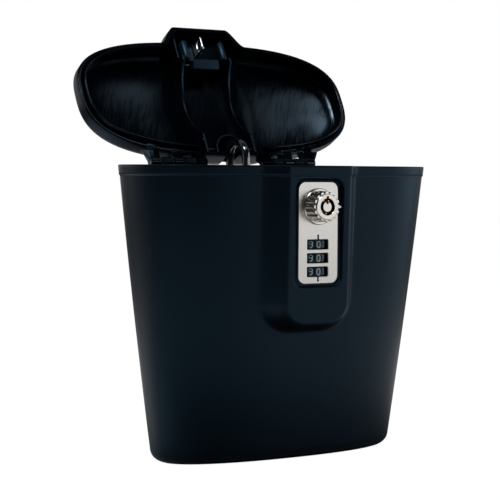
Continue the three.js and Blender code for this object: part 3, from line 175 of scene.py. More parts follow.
# Studio, in metres; levels are brightness as a mirror would show it
WALL_STARTS, WALL_FULL = -0.05, 0.3
ROOM_LEVEL, WALL_LEVEL = 0.02, 1.0
WALL_LOW, WALL_HIGH, WALL_TOP = 0.02, 0.4, 0.15
FLOOR_HALF, FLOOR_GREY, FLOOR_ROUGHNESS = 4.0, 0.3, 0.8
FLOOR_GLOW, FLOOR_SHEEN = 0.97, 0.85
SHEEN_STARTS, SHEEN_FULL, SHEEN_FADES, SHEEN_ENDS = 0.1, 0.3, 0.34, 0.75
BESIDE_STARTS, BESIDE_FULL = -0.12, 0.0
BESIDE_LEFT, BESIDE_RIGHT = -0.15, -0.06


def smooth(share):
    share = np.clip(share, 0, 1)
    return share * share * (3 - 2 * share)


def mix(a, b, share):
    return a + (b - a) * share


def make_camera():
    """Camera at the photograph's place."""
    azimuth, elevation, roll = (math.radians(a) for a in (CAMERA_AZIMUTH, CAMERA_ELEVATION, CAMERA_ROLL))
    forward = Vector((math.sin(azimuth) * math.cos(elevation), math.cos(azimuth) * math.cos(elevation),
                      math.sin(elevation)))
    level = Vector((math.cos(azimuth), -math.sin(azimuth), 0))
    right = math.cos(roll) * level + math.sin(roll) * level.cross(forward)
    up = right.cross(forward)
    data = bpy.data.cameras.new("camera")
    data.sensor_width = FILM_WIDTH
    data.lens = FILM_WIDTH * PHOTO_FOCAL / PHOTO_WIDTH
    data.clip_start, data.clip_end = CLIP_NEAR, CLIP_FAR
    camera = bpy.data.objects.new("camera", data)
    bpy.context.scene.collection.objects.link(camera)
    turn = Matrix((right, up, -forward)).transposed().to_4x4()
    camera.matrix_world = Matrix.Translation(Vector(CAMERA_PLACE) * MM) @ turn
    bpy.context.scene.camera = camera


# Shader nodes
def math_node(tree, operation, first, second):
    """A math node; each input is a socket to link or a number."""
    node = tree.nodes.new("ShaderNodeMath")
    node.operation = operation
    for socket, value in zip(node.inputs, (first, second)):
        if isinstance(value, (int, float)):
            socket.default_value = value
        else:
            tree.links.new(value, socket)
    return node.outputs[0]


def vector_node(tree, operation, first, second=None):
    """A vector math node on a socket; the second input is a socket, three numbers or left out."""
    node = tree.nodes.new("ShaderNodeVectorMath")
    node.operation = operation
    tree.links.new(first, node.inputs[0])
    if isinstance(second, tuple):
        node.inputs[1].default_value = second
    elif second is not None:
        tree.links.new(second, node.inputs[1])
    return node.outputs["Value" if operation in ("LENGTH", "DISTANCE") else "Vector"]


def ramp_node(tree, value, low, high, at_low, at_high):
    """A soft step from one number to another while the value goes from low to high."""
    node = tree.nodes.new("ShaderNodeMapRange")
    node.interpolation_type = "SMOOTHSTEP"
    for name, number in (("From Min", low), ("From Max", high), ("To Min", at_low), ("To Max", at_high)):
        node.inputs[name].default_value = number
    tree.links.new(value, node.inputs["Value"])
    return node.outputs["Result"]


def mapping_node(tree, place, rotation, location=(0, 0, 0)):
    node = tree.nodes.new("ShaderNodeMapping")
    node.inputs["Rotation"].default_value = rotation
    node.inputs["Location"].default_value = location
    tree.links.new(place, node.inputs["Vector"])
    return node.outputs[0]


def split_node(tree, vector):
    """Sockets of a vector's X, Y and Z."""
    node = tree.nodes.new("ShaderNodeSeparateXYZ")
    tree.links.new(vector, node.inputs[0])
    return node.outputs


def object_place(tree):
    return tree.nodes.new("ShaderNodeTexCoord").outputs["Object"]


def noise_node(tree, place, detail, scale):
    """Noise at a place; the scale is a socket or a number."""
    node = tree.nodes.new("ShaderNodeTexNoise")
    node.inputs["Detail"].default_value = detail
    tree.links.new(place, node.inputs["Vector"])
    if isinstance(scale, (int, float)):
        node.inputs["Scale"].default_value = scale
    else:
        tree.links.new(scale, node.inputs["Scale"])
    return node.outputs["Fac"]


# Materials
WHITE = (1, 1, 1)
SHEEN_TINT = (0.34, 0.68, 1.0)
LID_SHEEN_TINT = (0.55, 0.78, 1.0)
GRAIN_DETAIL, GRAIN_DEPTH = 3, 0.02

# How grain is drawn out: even on moulded pieces, brushed or turned along one way on metal
EVEN, BRUSHED_ACROSS, TURNED, TURNED_FINE = (1, 1, 1), (1, 1, 14), (1, 6, 1), (1, 8, 1)


def new_material(name, color, roughness, metallic=0.0, specular=0.5, coat=0.0, coat_roughness=0.1,
                 coat_ior=1.5, tint=WHITE):
    material = bpy.data.materials.new(name)
    material.use_nodes = True
    shader = material.node_tree.nodes["Principled BSDF"]
    for socket, value in (("Base Color", (*color, 1)), ("Roughness", roughness), ("Metallic", metallic),
                          ("Specular IOR Level", specular), ("Specular Tint", (*tint, 1)),
                          ("Coat Weight", coat), ("Coat Roughness", coat_roughness), ("Coat IOR", coat_ior)):
        shader.inputs[socket].default_value = value
    return material


def raise_surface(tree, height, strength):
    """Ridges of the grain's depth on the material's shader."""
    ridge = tree.nodes.new("ShaderNodeBump")
    ridge.inputs["Strength"].default_value = strength
    ridge.inputs["Distance"].default_value = GRAIN_DEPTH * MM
    tree.links.new(height, ridge.inputs["Height"])
    tree.links.new(ridge.outputs["Normal"], tree.nodes["Principled BSDF"].inputs["Normal"])


def grain_group():
    """Fine moulded or brushed grain: stretched noise as a height and as a small change of roughness."""
    group = bpy.data.node_groups.new("surface_grain", "ShaderNodeTree")
    for name, way, kind in (("Stretch", "INPUT", "Vector"), ("Scale", "INPUT", "Float"),
                            ("Roughness", "INPUT", "Float"), ("Spread", "INPUT", "Float"),
                            ("Height", "OUTPUT", "Float"), ("Roughness", "OUTPUT", "Float")):
        group.interface.new_socket(name=name, in_out=way, socket_type="NodeSocket" + kind)
    given = group.nodes.new("NodeGroupInput").outputs
    result = group.nodes.new("NodeGroupOutput").inputs
    stretched = vector_node(group, "MULTIPLY", object_place(group), given["Stretch"])
    noise = noise_node(group, stretched, GRAIN_DETAIL, given["Scale"])
    change = math_node(group, "MULTIPLY", math_node(group, "SUBTRACT", noise, 0.5), given["Spread"])
    group.links.new(noise, result["Height"])
    group.links.new(math_node(group, "ADD", change, given["Roughness"]), result["Roughness"])
    return group


GRAIN = grain_group()


def grained(name, color, roughness, stretch, scale, spread, bump, **look):
    """Material with grain: roughness changes by up to half the spread, and bump is how deep it looks."""
    material = new_material(name, color, roughness, **look)
    tree = material.node_tree
    grain = tree.nodes.new("ShaderNodeGroup")
    grain.node_tree = GRAIN
    for socket, value in (("Stretch", stretch), ("Scale", scale), ("Roughness", roughness),
                          ("Spread", spread)):
        grain.inputs[socket].default_value = value
    tree.links.new(grain.outputs["Roughness"], tree.nodes["Principled BSDF"].inputs["Roughness"])
    if bump:
        raise_surface(tree, grain.outputs["Height"], bump)
    return material


# Polish of the lid's inside: angles in degrees, places in millimetres on the shut lid
STREAK_ANGLE, STREAK_STRETCH, STREAK_SCALE, STREAK_DETAIL = 66, (0.08, 1, 1), 900, 3
CLOUD_ANGLE, CLOUD_STRETCH, CLOUD_SCALE, CLOUD_DETAIL = 30, (0.5, 1, 1), 34, 2
POLISH_STARTS, POLISH_FULL, LEFT_POLISH = 24, 50, 0.42
FRONT_DULL, FRONT_POLISHED = -30, -6
EJECTOR_MARKS, EJECTOR_RADIUS = ((-62, -25), (91.5, 3.6)), 3.8
MARK_CORE, MARK_EDGE, MARK_DULLS_TO = 0.1, 0.5, 0.35
STREAK_SHARE, TRACES_DULL, TRACES_BRIGHT = 0.5, 0.5, 1.0
LEAST_MIRRORED, MOST_MIRRORED, UNREACHED = 0.15, 1.2, 0.06
STREAK_FINE, STREAK_COARSE, FINE_ROUGHNESS, COARSE_ROUGHNESS = 0.3, 0.7, 0.16, 0.24
STREAK_BUMP = 0.2


def shut_shift():
    """How far back points of the open lid lie when they are turned shut about the frame's own x axis."""
    return HINGE_Y - HINGE_Y * math.cos(OPEN_ANGLE) + HINGE_Z * math.sin(OPEN_ANGLE)


def polish_noise(tree, place, angle, stretch, scale, detail):
    """Noise in the plane of the shut lid, drawn out along an angle."""
    turned_place = mapping_node(tree, place, (OPEN_ANGLE, 0, math.radians(angle)))
    return noise_node(tree, vector_node(tree, "MULTIPLY", turned_place, stretch), detail, scale)


def polish_reach(tree, across, back):
    """Where the polish reached: not between the ribs nor at the front, and less on the left."""
    right = ramp_node(tree, across, POLISH_STARTS * MM, POLISH_FULL * MM, 0, 1)
    left = ramp_node(tree, across, -POLISH_FULL * MM, -POLISH_STARTS * MM, LEFT_POLISH, 0)
    behind_front = ramp_node(tree, back, FRONT_DULL * MM, FRONT_POLISHED * MM, 0, 1)
    return math_node(tree, "MULTIPLY", math_node(tree, "MAXIMUM", right, left), behind_front)


def ejector_marks(tree, across, back):
    """Thin rings that the mould's ejector pins left."""
    plan = tree.nodes.new("ShaderNodeCombineXYZ")
    tree.links.new(across, plan.inputs["X"])
    tree.links.new(back, plan.inputs["Y"])
    rings = []
    for x, y in EJECTOR_MARKS:
        distance = vector_node(tree, "DISTANCE", plan.outputs[0], (x * MM, y * MM, 0))
        off_ring = math_node(tree, "SUBTRACT", distance, EJECTOR_RADIUS * MM)
        from_ring = math_node(tree, "ABSOLUTE", off_ring, 0)
        rings.append(ramp_node(tree, from_ring, MARK_CORE * MM, MARK_EDGE * MM, 1, 0))
    return math_node(tree, "MAXIMUM", *rings)


def polished_plastic():
    """Lid's inside: streaks ridge the surface, and all traces of the polish change how much it mirrors."""
    material = new_material("lid_polished_plastic", (0.0005, 0.0017, 0.0036), 0.2, tint=LID_SHEEN_TINT)
    tree = material.node_tree
    shader = tree.nodes["Principled BSDF"]
    place = object_place(tree)
    streaks = polish_noise(tree, place, STREAK_ANGLE, STREAK_STRETCH, STREAK_SCALE, STREAK_DETAIL)
    clouds = polish_noise(tree, place, CLOUD_ANGLE, CLOUD_STRETCH, CLOUD_SCALE, CLOUD_DETAIL)
    shut = split_node(tree, mapping_node(tree, place, (OPEN_ANGLE, 0, 0), (0, shut_shift() * MM, 0)))
    traces = math_node(tree, "ADD", math_node(tree, "MULTIPLY", streaks, STREAK_SHARE), clouds)
    mirrored = ramp_node(tree, traces, TRACES_DULL, TRACES_BRIGHT, LEAST_MIRRORED, MOST_MIRRORED)
    reached = ramp_node(tree, polish_reach(tree, shut["X"], shut["Y"]), 0, 1, UNREACHED, 1)
    unmarked = ramp_node(tree, ejector_marks(tree, shut["X"], shut["Y"]), 0, 1, 1, MARK_DULLS_TO)
    level = math_node(tree, "MULTIPLY", math_node(tree, "MULTIPLY", mirrored, reached), unmarked)
    tree.links.new(level, shader.inputs["Specular IOR Level"])
    roughness = ramp_node(tree, streaks, STREAK_FINE, STREAK_COARSE, FINE_ROUGHNESS, COARSE_ROUGHNESS)
    tree.links.new(roughness, shader.inputs["Roughness"])
    raise_surface(tree, streaks, STREAK_BUMP)
    return material


# Plastics
CASING = grained("casing_plastic", (0.0009, 0.003, 0.0058), 0.4, EVEN, 900, 0.06, 0.2,
                 specular=0.29, tint=SHEEN_TINT)
LID_PLASTIC = polished_plastic()
INSERT_PLASTIC = grained("lid_insert_plastic", (0.0006, 0.0012, 0.002), 0.32, EVEN, 700, 0.08, 0.15,
                         specular=0.6, tint=SHEEN_TINT)
# The striker seat's plastic is the insert's plastic made darker and duller. This is painted shade.
SEAT_SHADE_PLASTIC = grained("lid_seat_painted_shade", (0.0004, 0.0008, 0.0014), 0.4, EVEN, 700, 0.1, 0.2,
                       specular=0.12, tint=SHEEN_TINT)
# The ledge's and lugs' plastic is the insert's plastic, rougher and more mirroring, with a base colour many
# times lighter. The lighter colour is painted light.
LEDGE_LIT_PLASTIC = grained("lid_ledge_painted_light", (0.01, 0.018, 0.028), 0.36, EVEN, 600, 0.08, 0.2,
                        specular=0.9, tint=SHEEN_TINT)
WHEEL_BLACK = grained("wheel_black", (0.006, 0.009, 0.014), 0.38, EVEN, 800, 0.08, 0.1)
INNER_PLASTIC = grained("inner_black_plastic", (0.012, 0.013, 0.015), 0.5, EVEN, 700, 0.1, 0.2)
CABLE_JACKET = grained("cable_jacket", (0.006, 0.008, 0.011), 0.2, EVEN, 400, 0.06, 0.1,
                       specular=0.8, coat=1, coat_roughness=0.05, coat_ior=2.1)

# Metals
NICKEL = grained("satin_nickel", (0.66, 0.643, 0.61), 0.3, BRUSHED_ACROSS, 500, 0.08, 0.1, metallic=0.95)
KNOB_NICKEL = grained("polished_nickel", (0.56, 0.54, 0.505), 0.22, TURNED, 300, 0.06, 0.1, metallic=1)
CHROME = grained("bright_chrome", (0.85, 0.86, 0.87), 0.07, EVEN, 250, 0.06, 0, metallic=1)
STEEL = grained("zinc_steel", (0.62, 0.63, 0.64), 0.35, TURNED_FINE, 400, 0.15, 0.1, metallic=1)
BRASS = grained("turned_brass", (0.62, 0.4, 0.14), 0.25, TURNED, 500, 0.1, 0.1, metallic=1)
FERRULE_METAL = grained("pressed_aluminium", (0.55, 0.56, 0.57), 0.35, EVEN, 300, 0.12, 0.2, metallic=1)

# Near-black keyway and printed inks
KEYWAY_BLACK = grained("keyway_black", (0.002, 0.002, 0.003), 0.4, EVEN, 600, 0.1, 0.1, specular=0.3)
DIGIT_PALE = grained("digit_pale_blue", (0.54, 0.8, 0.94), 0.5, EVEN, 1500, 0.15, 0)
INDEX_BLACK = grained("index_black", (0.004, 0.004, 0.004), 0.6, EVEN, 1500, 0.15, 0)


# Mesh building
def add_mesh(name, points, faces, body, material, replaces=(), slot=None, sharp=35):
    mesh = bpy.data.meshes.new(name)
    mesh.from_pydata([tuple(p) for p in np.asarray(points, float) * MM], [], [tuple(f) for f in faces])
    mesh.validate()
    return settle(bpy.data.objects.new(name, mesh), body, material, replaces, sharp)


def shade(piece, sharp):
    """Smooth shading that breaks at edges sharper than the angle."""
    piece.data.shade_smooth()
    piece.data.set_sharp_from_angle(angle=math.radians(sharp))


def settle(piece, body, material, replaces=(), sharp=35):
    """Links a new piece, gives it its material and shading, and hangs it on its CAD body."""
    if piece.name not in bpy.context.scene.collection.objects:
        bpy.context.scene.collection.objects.link(piece)
    piece.data.materials.clear()
    piece.data.materials.append(material)
    if piece.type == "MESH":
        shade(piece, sharp)
    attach(piece, body)
    if replaces:
        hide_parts(*replaces)
    return piece


def opened(points):
    """Turns points of the shut lid back about the hinge line to where the photographed lid stands."""
    points = np.asarray(points, float)
    y, z = points[:, 1] - HINGE_Y, points[:, 2] - HINGE_Z
    c, s = math.cos(OPEN_ANGLE), math.sin(OPEN_ANGLE)
    return np.column_stack([points[:, 0], HINGE_Y + y * c + z * s, HINGE_Z - y * s + z * c])


def open_piece(piece):
    """The same turn for a piece that was made in place on the shut lid."""
    about = Matrix.Translation((0, HINGE_Y * MM, HINGE_Z * MM))
    turn = about @ Matrix.Rotation(-OPEN_ANGLE, 4, "X") @ about.inverted()
    piece.data.transform(turn)
    return piece


def settle_on_lid(piece, material, replaces=()):
    """Settles a piece that was made on the shut lid, and opens it with the lid."""
    return open_piece(settle(piece, "lid", material, replaces))


def dress(name, material):
    """Gives a CAD node that shows as it is its material."""
    nodes[name].data.materials.clear()
    nodes[name].data.materials.append(material)


def ring_faces(rows, columns, flip=False):
    """Quads between rings of points that close on themselves."""
    faces = []
    for row in range(rows - 1):
        for column in range(columns):
            a = row * columns + column
            b = row * columns + (column + 1) % columns
            quad = (a, b, b + columns, a + columns)
            faces.append(quad[::-1] if flip else quad)
    return faces


def strip_faces(sections, count):
    """Faces of a strip: closed sections of count points in a row, with a cap on both ends."""
    faces = []
    for i in range(sections - 1):
        for k in range(count):
            a, b = i * count + k, i * count + (k + 1) % count
            faces.append((a, b, b + count, a + count))
    last = (sections - 1) * count
    return faces + [tuple(range(count)), tuple(range(last, last + count))[::-1]]


def tidy_normals(piece):
    """Joins points that lie on one another and turns all faces outwards."""
    made = bmesh.new()
    made.from_mesh(piece.data)
    bmesh.ops.remove_doubles(made, verts=made.verts, dist=1e-6)
    bmesh.ops.recalc_face_normals(made, faces=made.faces)
    made.to_mesh(piece.data)
    made.free()
    return piece


def cut_away(piece, name, points, faces):
    """Cuts a closed form out of a piece."""
    mesh = bpy.data.meshes.new(name)
    mesh.from_pydata([tuple(p) for p in np.asarray(points, float) * MM], [], [tuple(f) for f in faces])
    tool = bpy.data.objects.new(name, mesh)
    bpy.context.scene.collection.objects.link(tool)
    modifier = piece.modifiers.new("cut", "BOOLEAN")
    modifier.operation = "DIFFERENCE"
    modifier.solver = "EXACT"
    modifier.object = tidy_normals(tool)
    bpy.context.view_layer.update()
    graph = bpy.context.evaluated_depsgraph_get()
    made = bpy.data.meshes.new_from_object(piece.evaluated_get(graph))
    piece.modifiers.clear()
    old = piece.data
    piece.data = made
    bpy.data.meshes.remove(old)
    bpy.data.objects.remove(tool)


def box_points(x0, x1, y0, y1, z0, z1):
    points = [(x, y, z) for x in (x0, x1) for y in (y0, y1) for z in (z0, z1)]
    faces = [(0, 1, 3, 2), (4, 6, 7, 5), (0, 4, 5, 1), (2, 3, 7, 6), (0, 2, 6, 4), (1, 5, 7, 3)]
    return points, faces


def bevel_edges(piece, width):
    modifier = piece.modifiers.new("bevel", "BEVEL")
    modifier.width = width * MM
    modifier.segments = 3
    modifier.limit_method = "ANGLE"
    modifier.angle_limit = math.radians(30)
    modifier.harden_normals = False
    return piece


# What plate_mesh takes as its plane: the ways across, up and out
FACING_FRONT = ((1, 0, 0), (0, 0, 1), (0, -1, 0))
FACING_RIGHT = ((0, 1, 0), (0, 0, 1), (1, 0, 0))
FACING_UP = ((1, 0, 0), (0, 1, 0), (0, 0, 1))


def plate_mesh(name, outlines, low, high, plane, bevel):
    """A flat plate with rounded edges. Its outlines are closed, the first outside and the rest holes."""
    curve = bpy.data.curves.new(name, "CURVE")
    curve.dimensions = "2D"
    curve.fill_mode = "BOTH"
    curve.extrude = ((high - low) / 2 - bevel) * MM
    curve.bevel_depth = bevel * MM
    curve.bevel_resolution = 2
    curve.offset = -bevel * MM
    for outline in outlines:
        spline = curve.splines.new("POLY")
        spline.points.add(len(outline) - 1)
        for point, (u, v) in zip(spline.points, outline):
            point.co = (u * MM, v * MM, 0, 1)
        spline.use_cyclic_u = True
    holder = bpy.data.objects.new(name, curve)
    bpy.context.scene.collection.objects.link(holder)
    bpy.context.view_layer.update()
    mesh = bpy.data.meshes.new_from_object(holder.evaluated_get(bpy.context.evaluated_depsgraph_get()))
    bpy.data.objects.remove(holder)
    bpy.data.curves.remove(curve)
    middle = (low + high) / 2 * MM
    columns = [Vector(axis) for axis in plane]
    turn = Matrix(columns).transposed().to_4x4()
    mesh.transform(turn @ Matrix.Translation((0, 0, middle)))
    return bpy.data.objects.new(name, mesh)


def rounded_outline(left, right, bottom, top, corner, steps=8):
    points = []
    for cx, cz, quarter in ((right - corner, bottom + corner, -1), (right - corner, top - corner, 0),
                            (left + corner, top - corner, 1), (left + corner, bottom + corner, 2)):
        for i in range(steps + 1):
            angle = (quarter + i / steps) * math.pi / 2
            points.append((cx + corner * math.cos(angle), cz + corner * math.sin(angle)))
    return points


def circle_outline(radius, steps, across, up):
    angles = [2 * math.pi * i / steps for i in range(steps)]
    return [(across + radius * math.cos(a), up + radius * math.sin(a)) for a in angles]


def turned(name, profile, centre, axis, body, material, steps=64, **more):
    """A turned piece: a closed profile of (radius, along) swept round an axis through centre."""
    along = Vector(axis)
    side = Vector((0, 0, 1)) if abs(along.z) < 0.5 else Vector((1, 0, 0))
    other = along.cross(side)
    points = []
    for i in range(steps):
        angle = 2 * math.pi * i / steps
        out = side * math.cos(angle) + other * math.sin(angle)
        points += [Vector(centre) + out * radius + along * reach for radius, reach in profile]
    count = len(profile)
    faces = []
    for i in range(steps):
        for k in range(count):
            a, b = i * count + k, i * count + (k + 1) % count
            c, d = ((i + 1) % steps) * count + (k + 1) % count, ((i + 1) % steps) * count + k
            faces.append((a, b, c, d))
    return tidy_normals(add_mesh(name, points, faces, body, material, **more))


# Outlines of case and lid
def taper(z):
    """How far from base to rim the case's sides stand at a height, with a slight bow."""
    share = z / BODY_HEIGHT
    return share + SIDE_BOW * 4 * share * (1 - share)


def oval_depth(x, half_width, half_depth, square):
    across = np.clip(np.abs(x) / half_width, 0, 1)
    return half_depth * (1 - across ** square) ** (1 / square)


def body_oval(z):
    """The case's plan at a height: half width, depth in front and behind, squareness in front and behind."""
    share = taper(z)
    return (mix(BASE_HALF_WIDTH, RIM_HALF_WIDTH, share), mix(BASE_HALF_DEPTH, RIM_FRONT, share),
            mix(BASE_HALF_DEPTH, RIM_BACK, share), mix(BASE_SQUARE, FRONT_SQUARE, share),
            mix(BASE_SQUARE, BACK_SQUARE, share))


def pilaster_share(x, z, inset):
    """1 on the pilaster's face, 0 beside it, and a blend on its flanks."""
    corner = PILASTER_CORNER - inset
    across = np.maximum(np.abs(x) - (PILASTER_HALF - PILASTER_CORNER), 0)
    below = np.maximum(BODY_HEIGHT - PILASTER_LENGTH + PILASTER_CORNER - z, 0)
    reach = np.hypot(across, below) - corner
    total = np.maximum(across ** 2 + below ** 2, 1e-9)
    flank = mix(SIDE_FLANK, FOOT_FLANK, below ** 2 / total)
    return 1 - smooth(reach / flank)


def pilaster_face(z):
    foot = BODY_HEIGHT - PILASTER_LENGTH
    rise = np.clip((z - foot) / PILASTER_LENGTH, 0, 1)
    return mix(body_oval(foot)[1] + FOOT_STAND, RIM_FRONT + RIM_STAND, rise)


def outline_points(oval, inset, front_x, around, raised_z=None, set_in=0.0):
    """Plan outline of an oval, from the front's middle round to the back's, then back on the other side.
    front_x are the fixed places on the front; around is how many points follow to the back."""
    half_width, front_depth, back_depth, front_square, back_square = oval
    half_width, front_depth, back_depth = half_width - inset, front_depth - inset, back_depth - inset
    wall = oval_depth(front_x, half_width, front_depth, front_square)
    if raised_z is not None:
        face = pilaster_face(raised_z) - inset
        wall = mix(wall, face, pilaster_share(front_x + set_in, raised_z, inset))
    half = [(x, -y) for x, y in zip(front_x, wall)]
    start = -math.acos((FLANK_END / half_width) ** (front_square / 2))
    angles = np.linspace(start, math.pi / 2, 1200)
    square = np.where(angles < 0, front_square, back_square)
    depth = np.where(angles < 0, front_depth, back_depth)
    xs = half_width * np.abs(np.cos(angles)) ** (2 / square)
    ys = depth * np.abs(np.sin(angles)) ** (2 / square) * np.sign(angles)
    xs[-1] = 0
    run = np.concatenate([[0], np.cumsum(np.hypot(np.diff(xs), np.diff(ys)))])
    places = np.linspace(0, run[-1], around + 1)[1:]
    half += list(zip(np.interp(places, run, xs), np.interp(places, run, ys)))
    return np.array(half + [(-x, y) for x, y in half[-2:0:-1]])


def at_height(plan, z):
    """A plan outline as a ring of points at one height."""
    return np.column_stack([plan, np.full(len(plan), z)])


def spaced(marks):
    """Places between marks of (place, spacing from there on)."""
    places = [marks[0][0]]
    for (start, step), (stop, _) in zip(marks, marks[1:]):
        count = max(1, round((stop - start) / step))
        places += [mix(start, stop, (i + 1) / count) for i in range(count)]
    return np.array(places)


# Case
EDGE_OUT, EDGE_IN = 1.9, 0.5
WIDE, MIDDLE, CLOSE, NARROW, FINE = 4, 1.7, 1.2, 0.8, 0.2
SLOT_HALF, SLOT_MARGIN = WHEEL_RADIUS + 0.6, 0.1
SLOT_LOW, SLOT_HIGH = WHEELS_Z - 1.5 * WHEEL_PITCH, WHEELS_Z + 1.5 * WHEEL_PITCH
CASE_FRONT_X = spaced([(0, MIDDLE), (SLOT_HALF, CLOSE), (RECESS_HALF - EDGE_IN, FINE),
                       (RECESS_HALF + EDGE_OUT, NARROW), (FLANK_END, 1)])
CASE_AROUND, BASE_EDGE_STEPS = 96, 7
PILASTER_MESH_LOW, PILASTER_MESH_STEP = 72, 1.1


def case_levels():
    """Heights of the case's rings, close together where the surface bends."""
    fillet = [BASE_EDGE * (1 - math.cos(i / BASE_EDGE_STEPS * math.pi / 2)) for i in range(BASE_EDGE_STEPS)]
    upper = spaced([(BASE_EDGE, WIDE), (PILASTER_MESH_LOW, PILASTER_MESH_STEP),
                    (RECESS_LOW - EDGE_OUT, FINE), (RECESS_LOW + EDGE_IN, NARROW),
                    (SLOT_LOW, CLOSE), (SLOT_HIGH, CLOSE),
                    (RECESS_HIGH - RECESS_CORNER, NARROW), (RECESS_HIGH - EDGE_IN, FINE),
                    (RECESS_HIGH + EDGE_OUT, 0.5), (BODY_HEIGHT - RIM_BAND - 0.5, 0.25),
                    (BODY_HEIGHT - RIM_BAND + 0.1, 1), (BODY_HEIGHT - RIM_ROUND, 1)])
    return np.array(fillet + list(upper))


def recess_depth(x, z):
    """Share of the recess at a place on the pilaster's face: 1 on its floor, 0 outside, with soft edges."""
    qx = np.abs(x) - (RECESS_HALF - RECESS_CORNER)
    qz = np.abs(z - (RECESS_LOW + RECESS_HIGH) / 2) - ((RECESS_HIGH - RECESS_LOW) / 2 - RECESS_CORNER)
    outside = np.hypot(np.maximum(qx, 0), np.maximum(qz, 0))
    away = outside + np.minimum(np.maximum(qx, qz), 0) - RECESS_CORNER
    return 1 - smooth(away / RECESS_SLOPE)


def case_ring(z):
    """The case's outer skin at a height, with the rounded base edge, the rim's band and the recess."""
    inset = BASE_EDGE - math.sqrt(max(BASE_EDGE ** 2 - (BASE_EDGE - z) ** 2, 0)) if z < BASE_EDGE else 0
    band = RIM_STEP * float(smooth((z - (BODY_HEIGHT - RIM_BAND - RIM_STEP)) / BAND_BLEND))
    plan = outline_points(body_oval(z), inset - band, CASE_FRONT_X, CASE_AROUND, z)
    front = (np.abs(plan[:, 0]) < FLANK_END) & (plan[:, 1] < 0)
    share = np.where(front, recess_depth(plan[:, 0], z), 0)
    plan[:, 1] = mix(plan[:, 1], RECESS_PLANE, share)
    return at_height(plan, z)


def case_inner_ring(z):
    """Inner skin at the ring of the same height; near the base its rings draw together above the floor."""
    level = max(z, FLOOR + (z / INSIDE_BASE) * (INSIDE_BASE - FLOOR)) if z < INSIDE_BASE else z
    radius = BASE_EDGE - BODY_WALL
    rise = level - FLOOR
    round_in = radius - math.sqrt(max(radius ** 2 - (radius - rise) ** 2, 0)) if rise < radius else 0
    plan = outline_points(body_oval(level), BODY_WALL + round_in, CASE_FRONT_X, CASE_AROUND, level)
    if level > RECESS_LOW - BODY_WALL:
        pad = (np.abs(plan[:, 0]) < RECESS_HALF + BODY_WALL) & (plan[:, 1] < RECESS_BACK)
        plan[pad, 1] = RECESS_BACK
    return at_height(plan, level)


def case_top_rings():
    """The rim's flat top, between its rounded outer and inner edges."""
    oval = body_oval(BODY_HEIGHT)
    outer = outline_points(oval, -RIM_STEP + RIM_ROUND, CASE_FRONT_X, CASE_AROUND, BODY_HEIGHT)
    inner = outline_points(oval, BODY_WALL - RIM_INNER_ROUND, CASE_FRONT_X, CASE_AROUND, BODY_HEIGHT)
    pad = (np.abs(inner[:, 0]) < RECESS_HALF + BODY_WALL) & (inner[:, 1] < RECESS_BACK)
    inner[:, 1] = np.where(pad, RECESS_BACK - RIM_INNER_ROUND, inner[:, 1])
    return at_height(outer, BODY_HEIGHT), at_height(inner, BODY_HEIGHT)


def in_slot(x0, x1):
    return max(abs(x0), abs(x1)) < SLOT_HALF + SLOT_MARGIN


def slot_walls(slot_rows, slot_columns, columns, rows, count):
    """Walls between the edges of the wheels' opening in the outer and the inner skin."""
    def outer(r, c):
        return r * columns + c % columns

    def inner(r, c):
        return (rows + count - r) * columns + c % columns
    walls = []
    low, high = slot_rows[0], slot_rows[-1] + 1
    signed = [c if c < columns / 2 else c - columns for c in slot_columns]
    left, right = min(signed), max(signed) + 1
    for c in range(left, right):
        walls.append((outer(low, c), inner(low, c), inner(low, c + 1), outer(low, c + 1)))
        walls.append((outer(high, c), outer(high, c + 1), inner(high, c + 1), inner(high, c)))
    for r in range(low, high):
        walls.append((outer(r, left), outer(r + 1, left), inner(r + 1, left), inner(r, left)))
        walls.append((outer(r, right), inner(r, right), inner(r + 1, right), outer(r + 1, right)))
    return walls


def make_case():
    """Outer skin, rim and inner skin in one run of rings; the wheels' opening cuts the recess's floor."""
    levels = case_levels()
    rim_outer, rim_inner = case_top_rings()
    outer = [case_ring(z) for z in levels] + [rim_outer]
    inner = [rim_inner] + [case_inner_ring(z) for z in levels[::-1]]
    top = outer[-2]
    columns, rows = len(top), len(outer)
    slot_columns = [c for c in range(columns)
                    if (c < len(CASE_FRONT_X) or c > columns - len(CASE_FRONT_X))
                    and in_slot(top[c][0], top[(c + 1) % columns][0])]
    slot_rows = [r for r in range(rows - 2)
                 if SLOT_LOW - SLOT_MARGIN < levels[r] and levels[r + 1] < SLOT_HIGH + SLOT_MARGIN]
    dropped = set()
    for r in slot_rows:
        inner_row = rows + len(levels) - 1 - r
        for c in slot_columns:
            dropped.update((r * columns + c, inner_row * columns + c))
    faces = [f for i, f in enumerate(ring_faces(rows + len(inner), columns)) if i not in dropped]
    faces += slot_walls(slot_rows, slot_columns, columns, rows, len(levels))
    faces.append(tuple(range(columns))[::-1])
    last = (rows + len(inner) - 1) * columns
    faces.append(tuple(range(last, last + columns)))
    add_mesh("case_moulding", np.vstack(outer + inner), faces, "case", CASING, ["body_shell"], "casing", 50)


# Lid
LID_OVAL = (LID_HALF_WIDTH, LID_FRONT, RIM_BACK, LID_SQUARE, LID_SQUARE)
LID_FRONT_X = spaced([(0, 1.5), (18, 0.9), (FLANK_END, 1)])
LID_AROUND, ROOF_STEPS, LID_SHARP = 110, 44, 50
NOTCH_STEPS, NOTCH_GAP = 96, 0.6


def lid_plan(inset):
    return outline_points(LID_OVAL, inset, LID_FRONT_X, LID_AROUND, BODY_HEIGHT, LID_TAB_SET_IN)


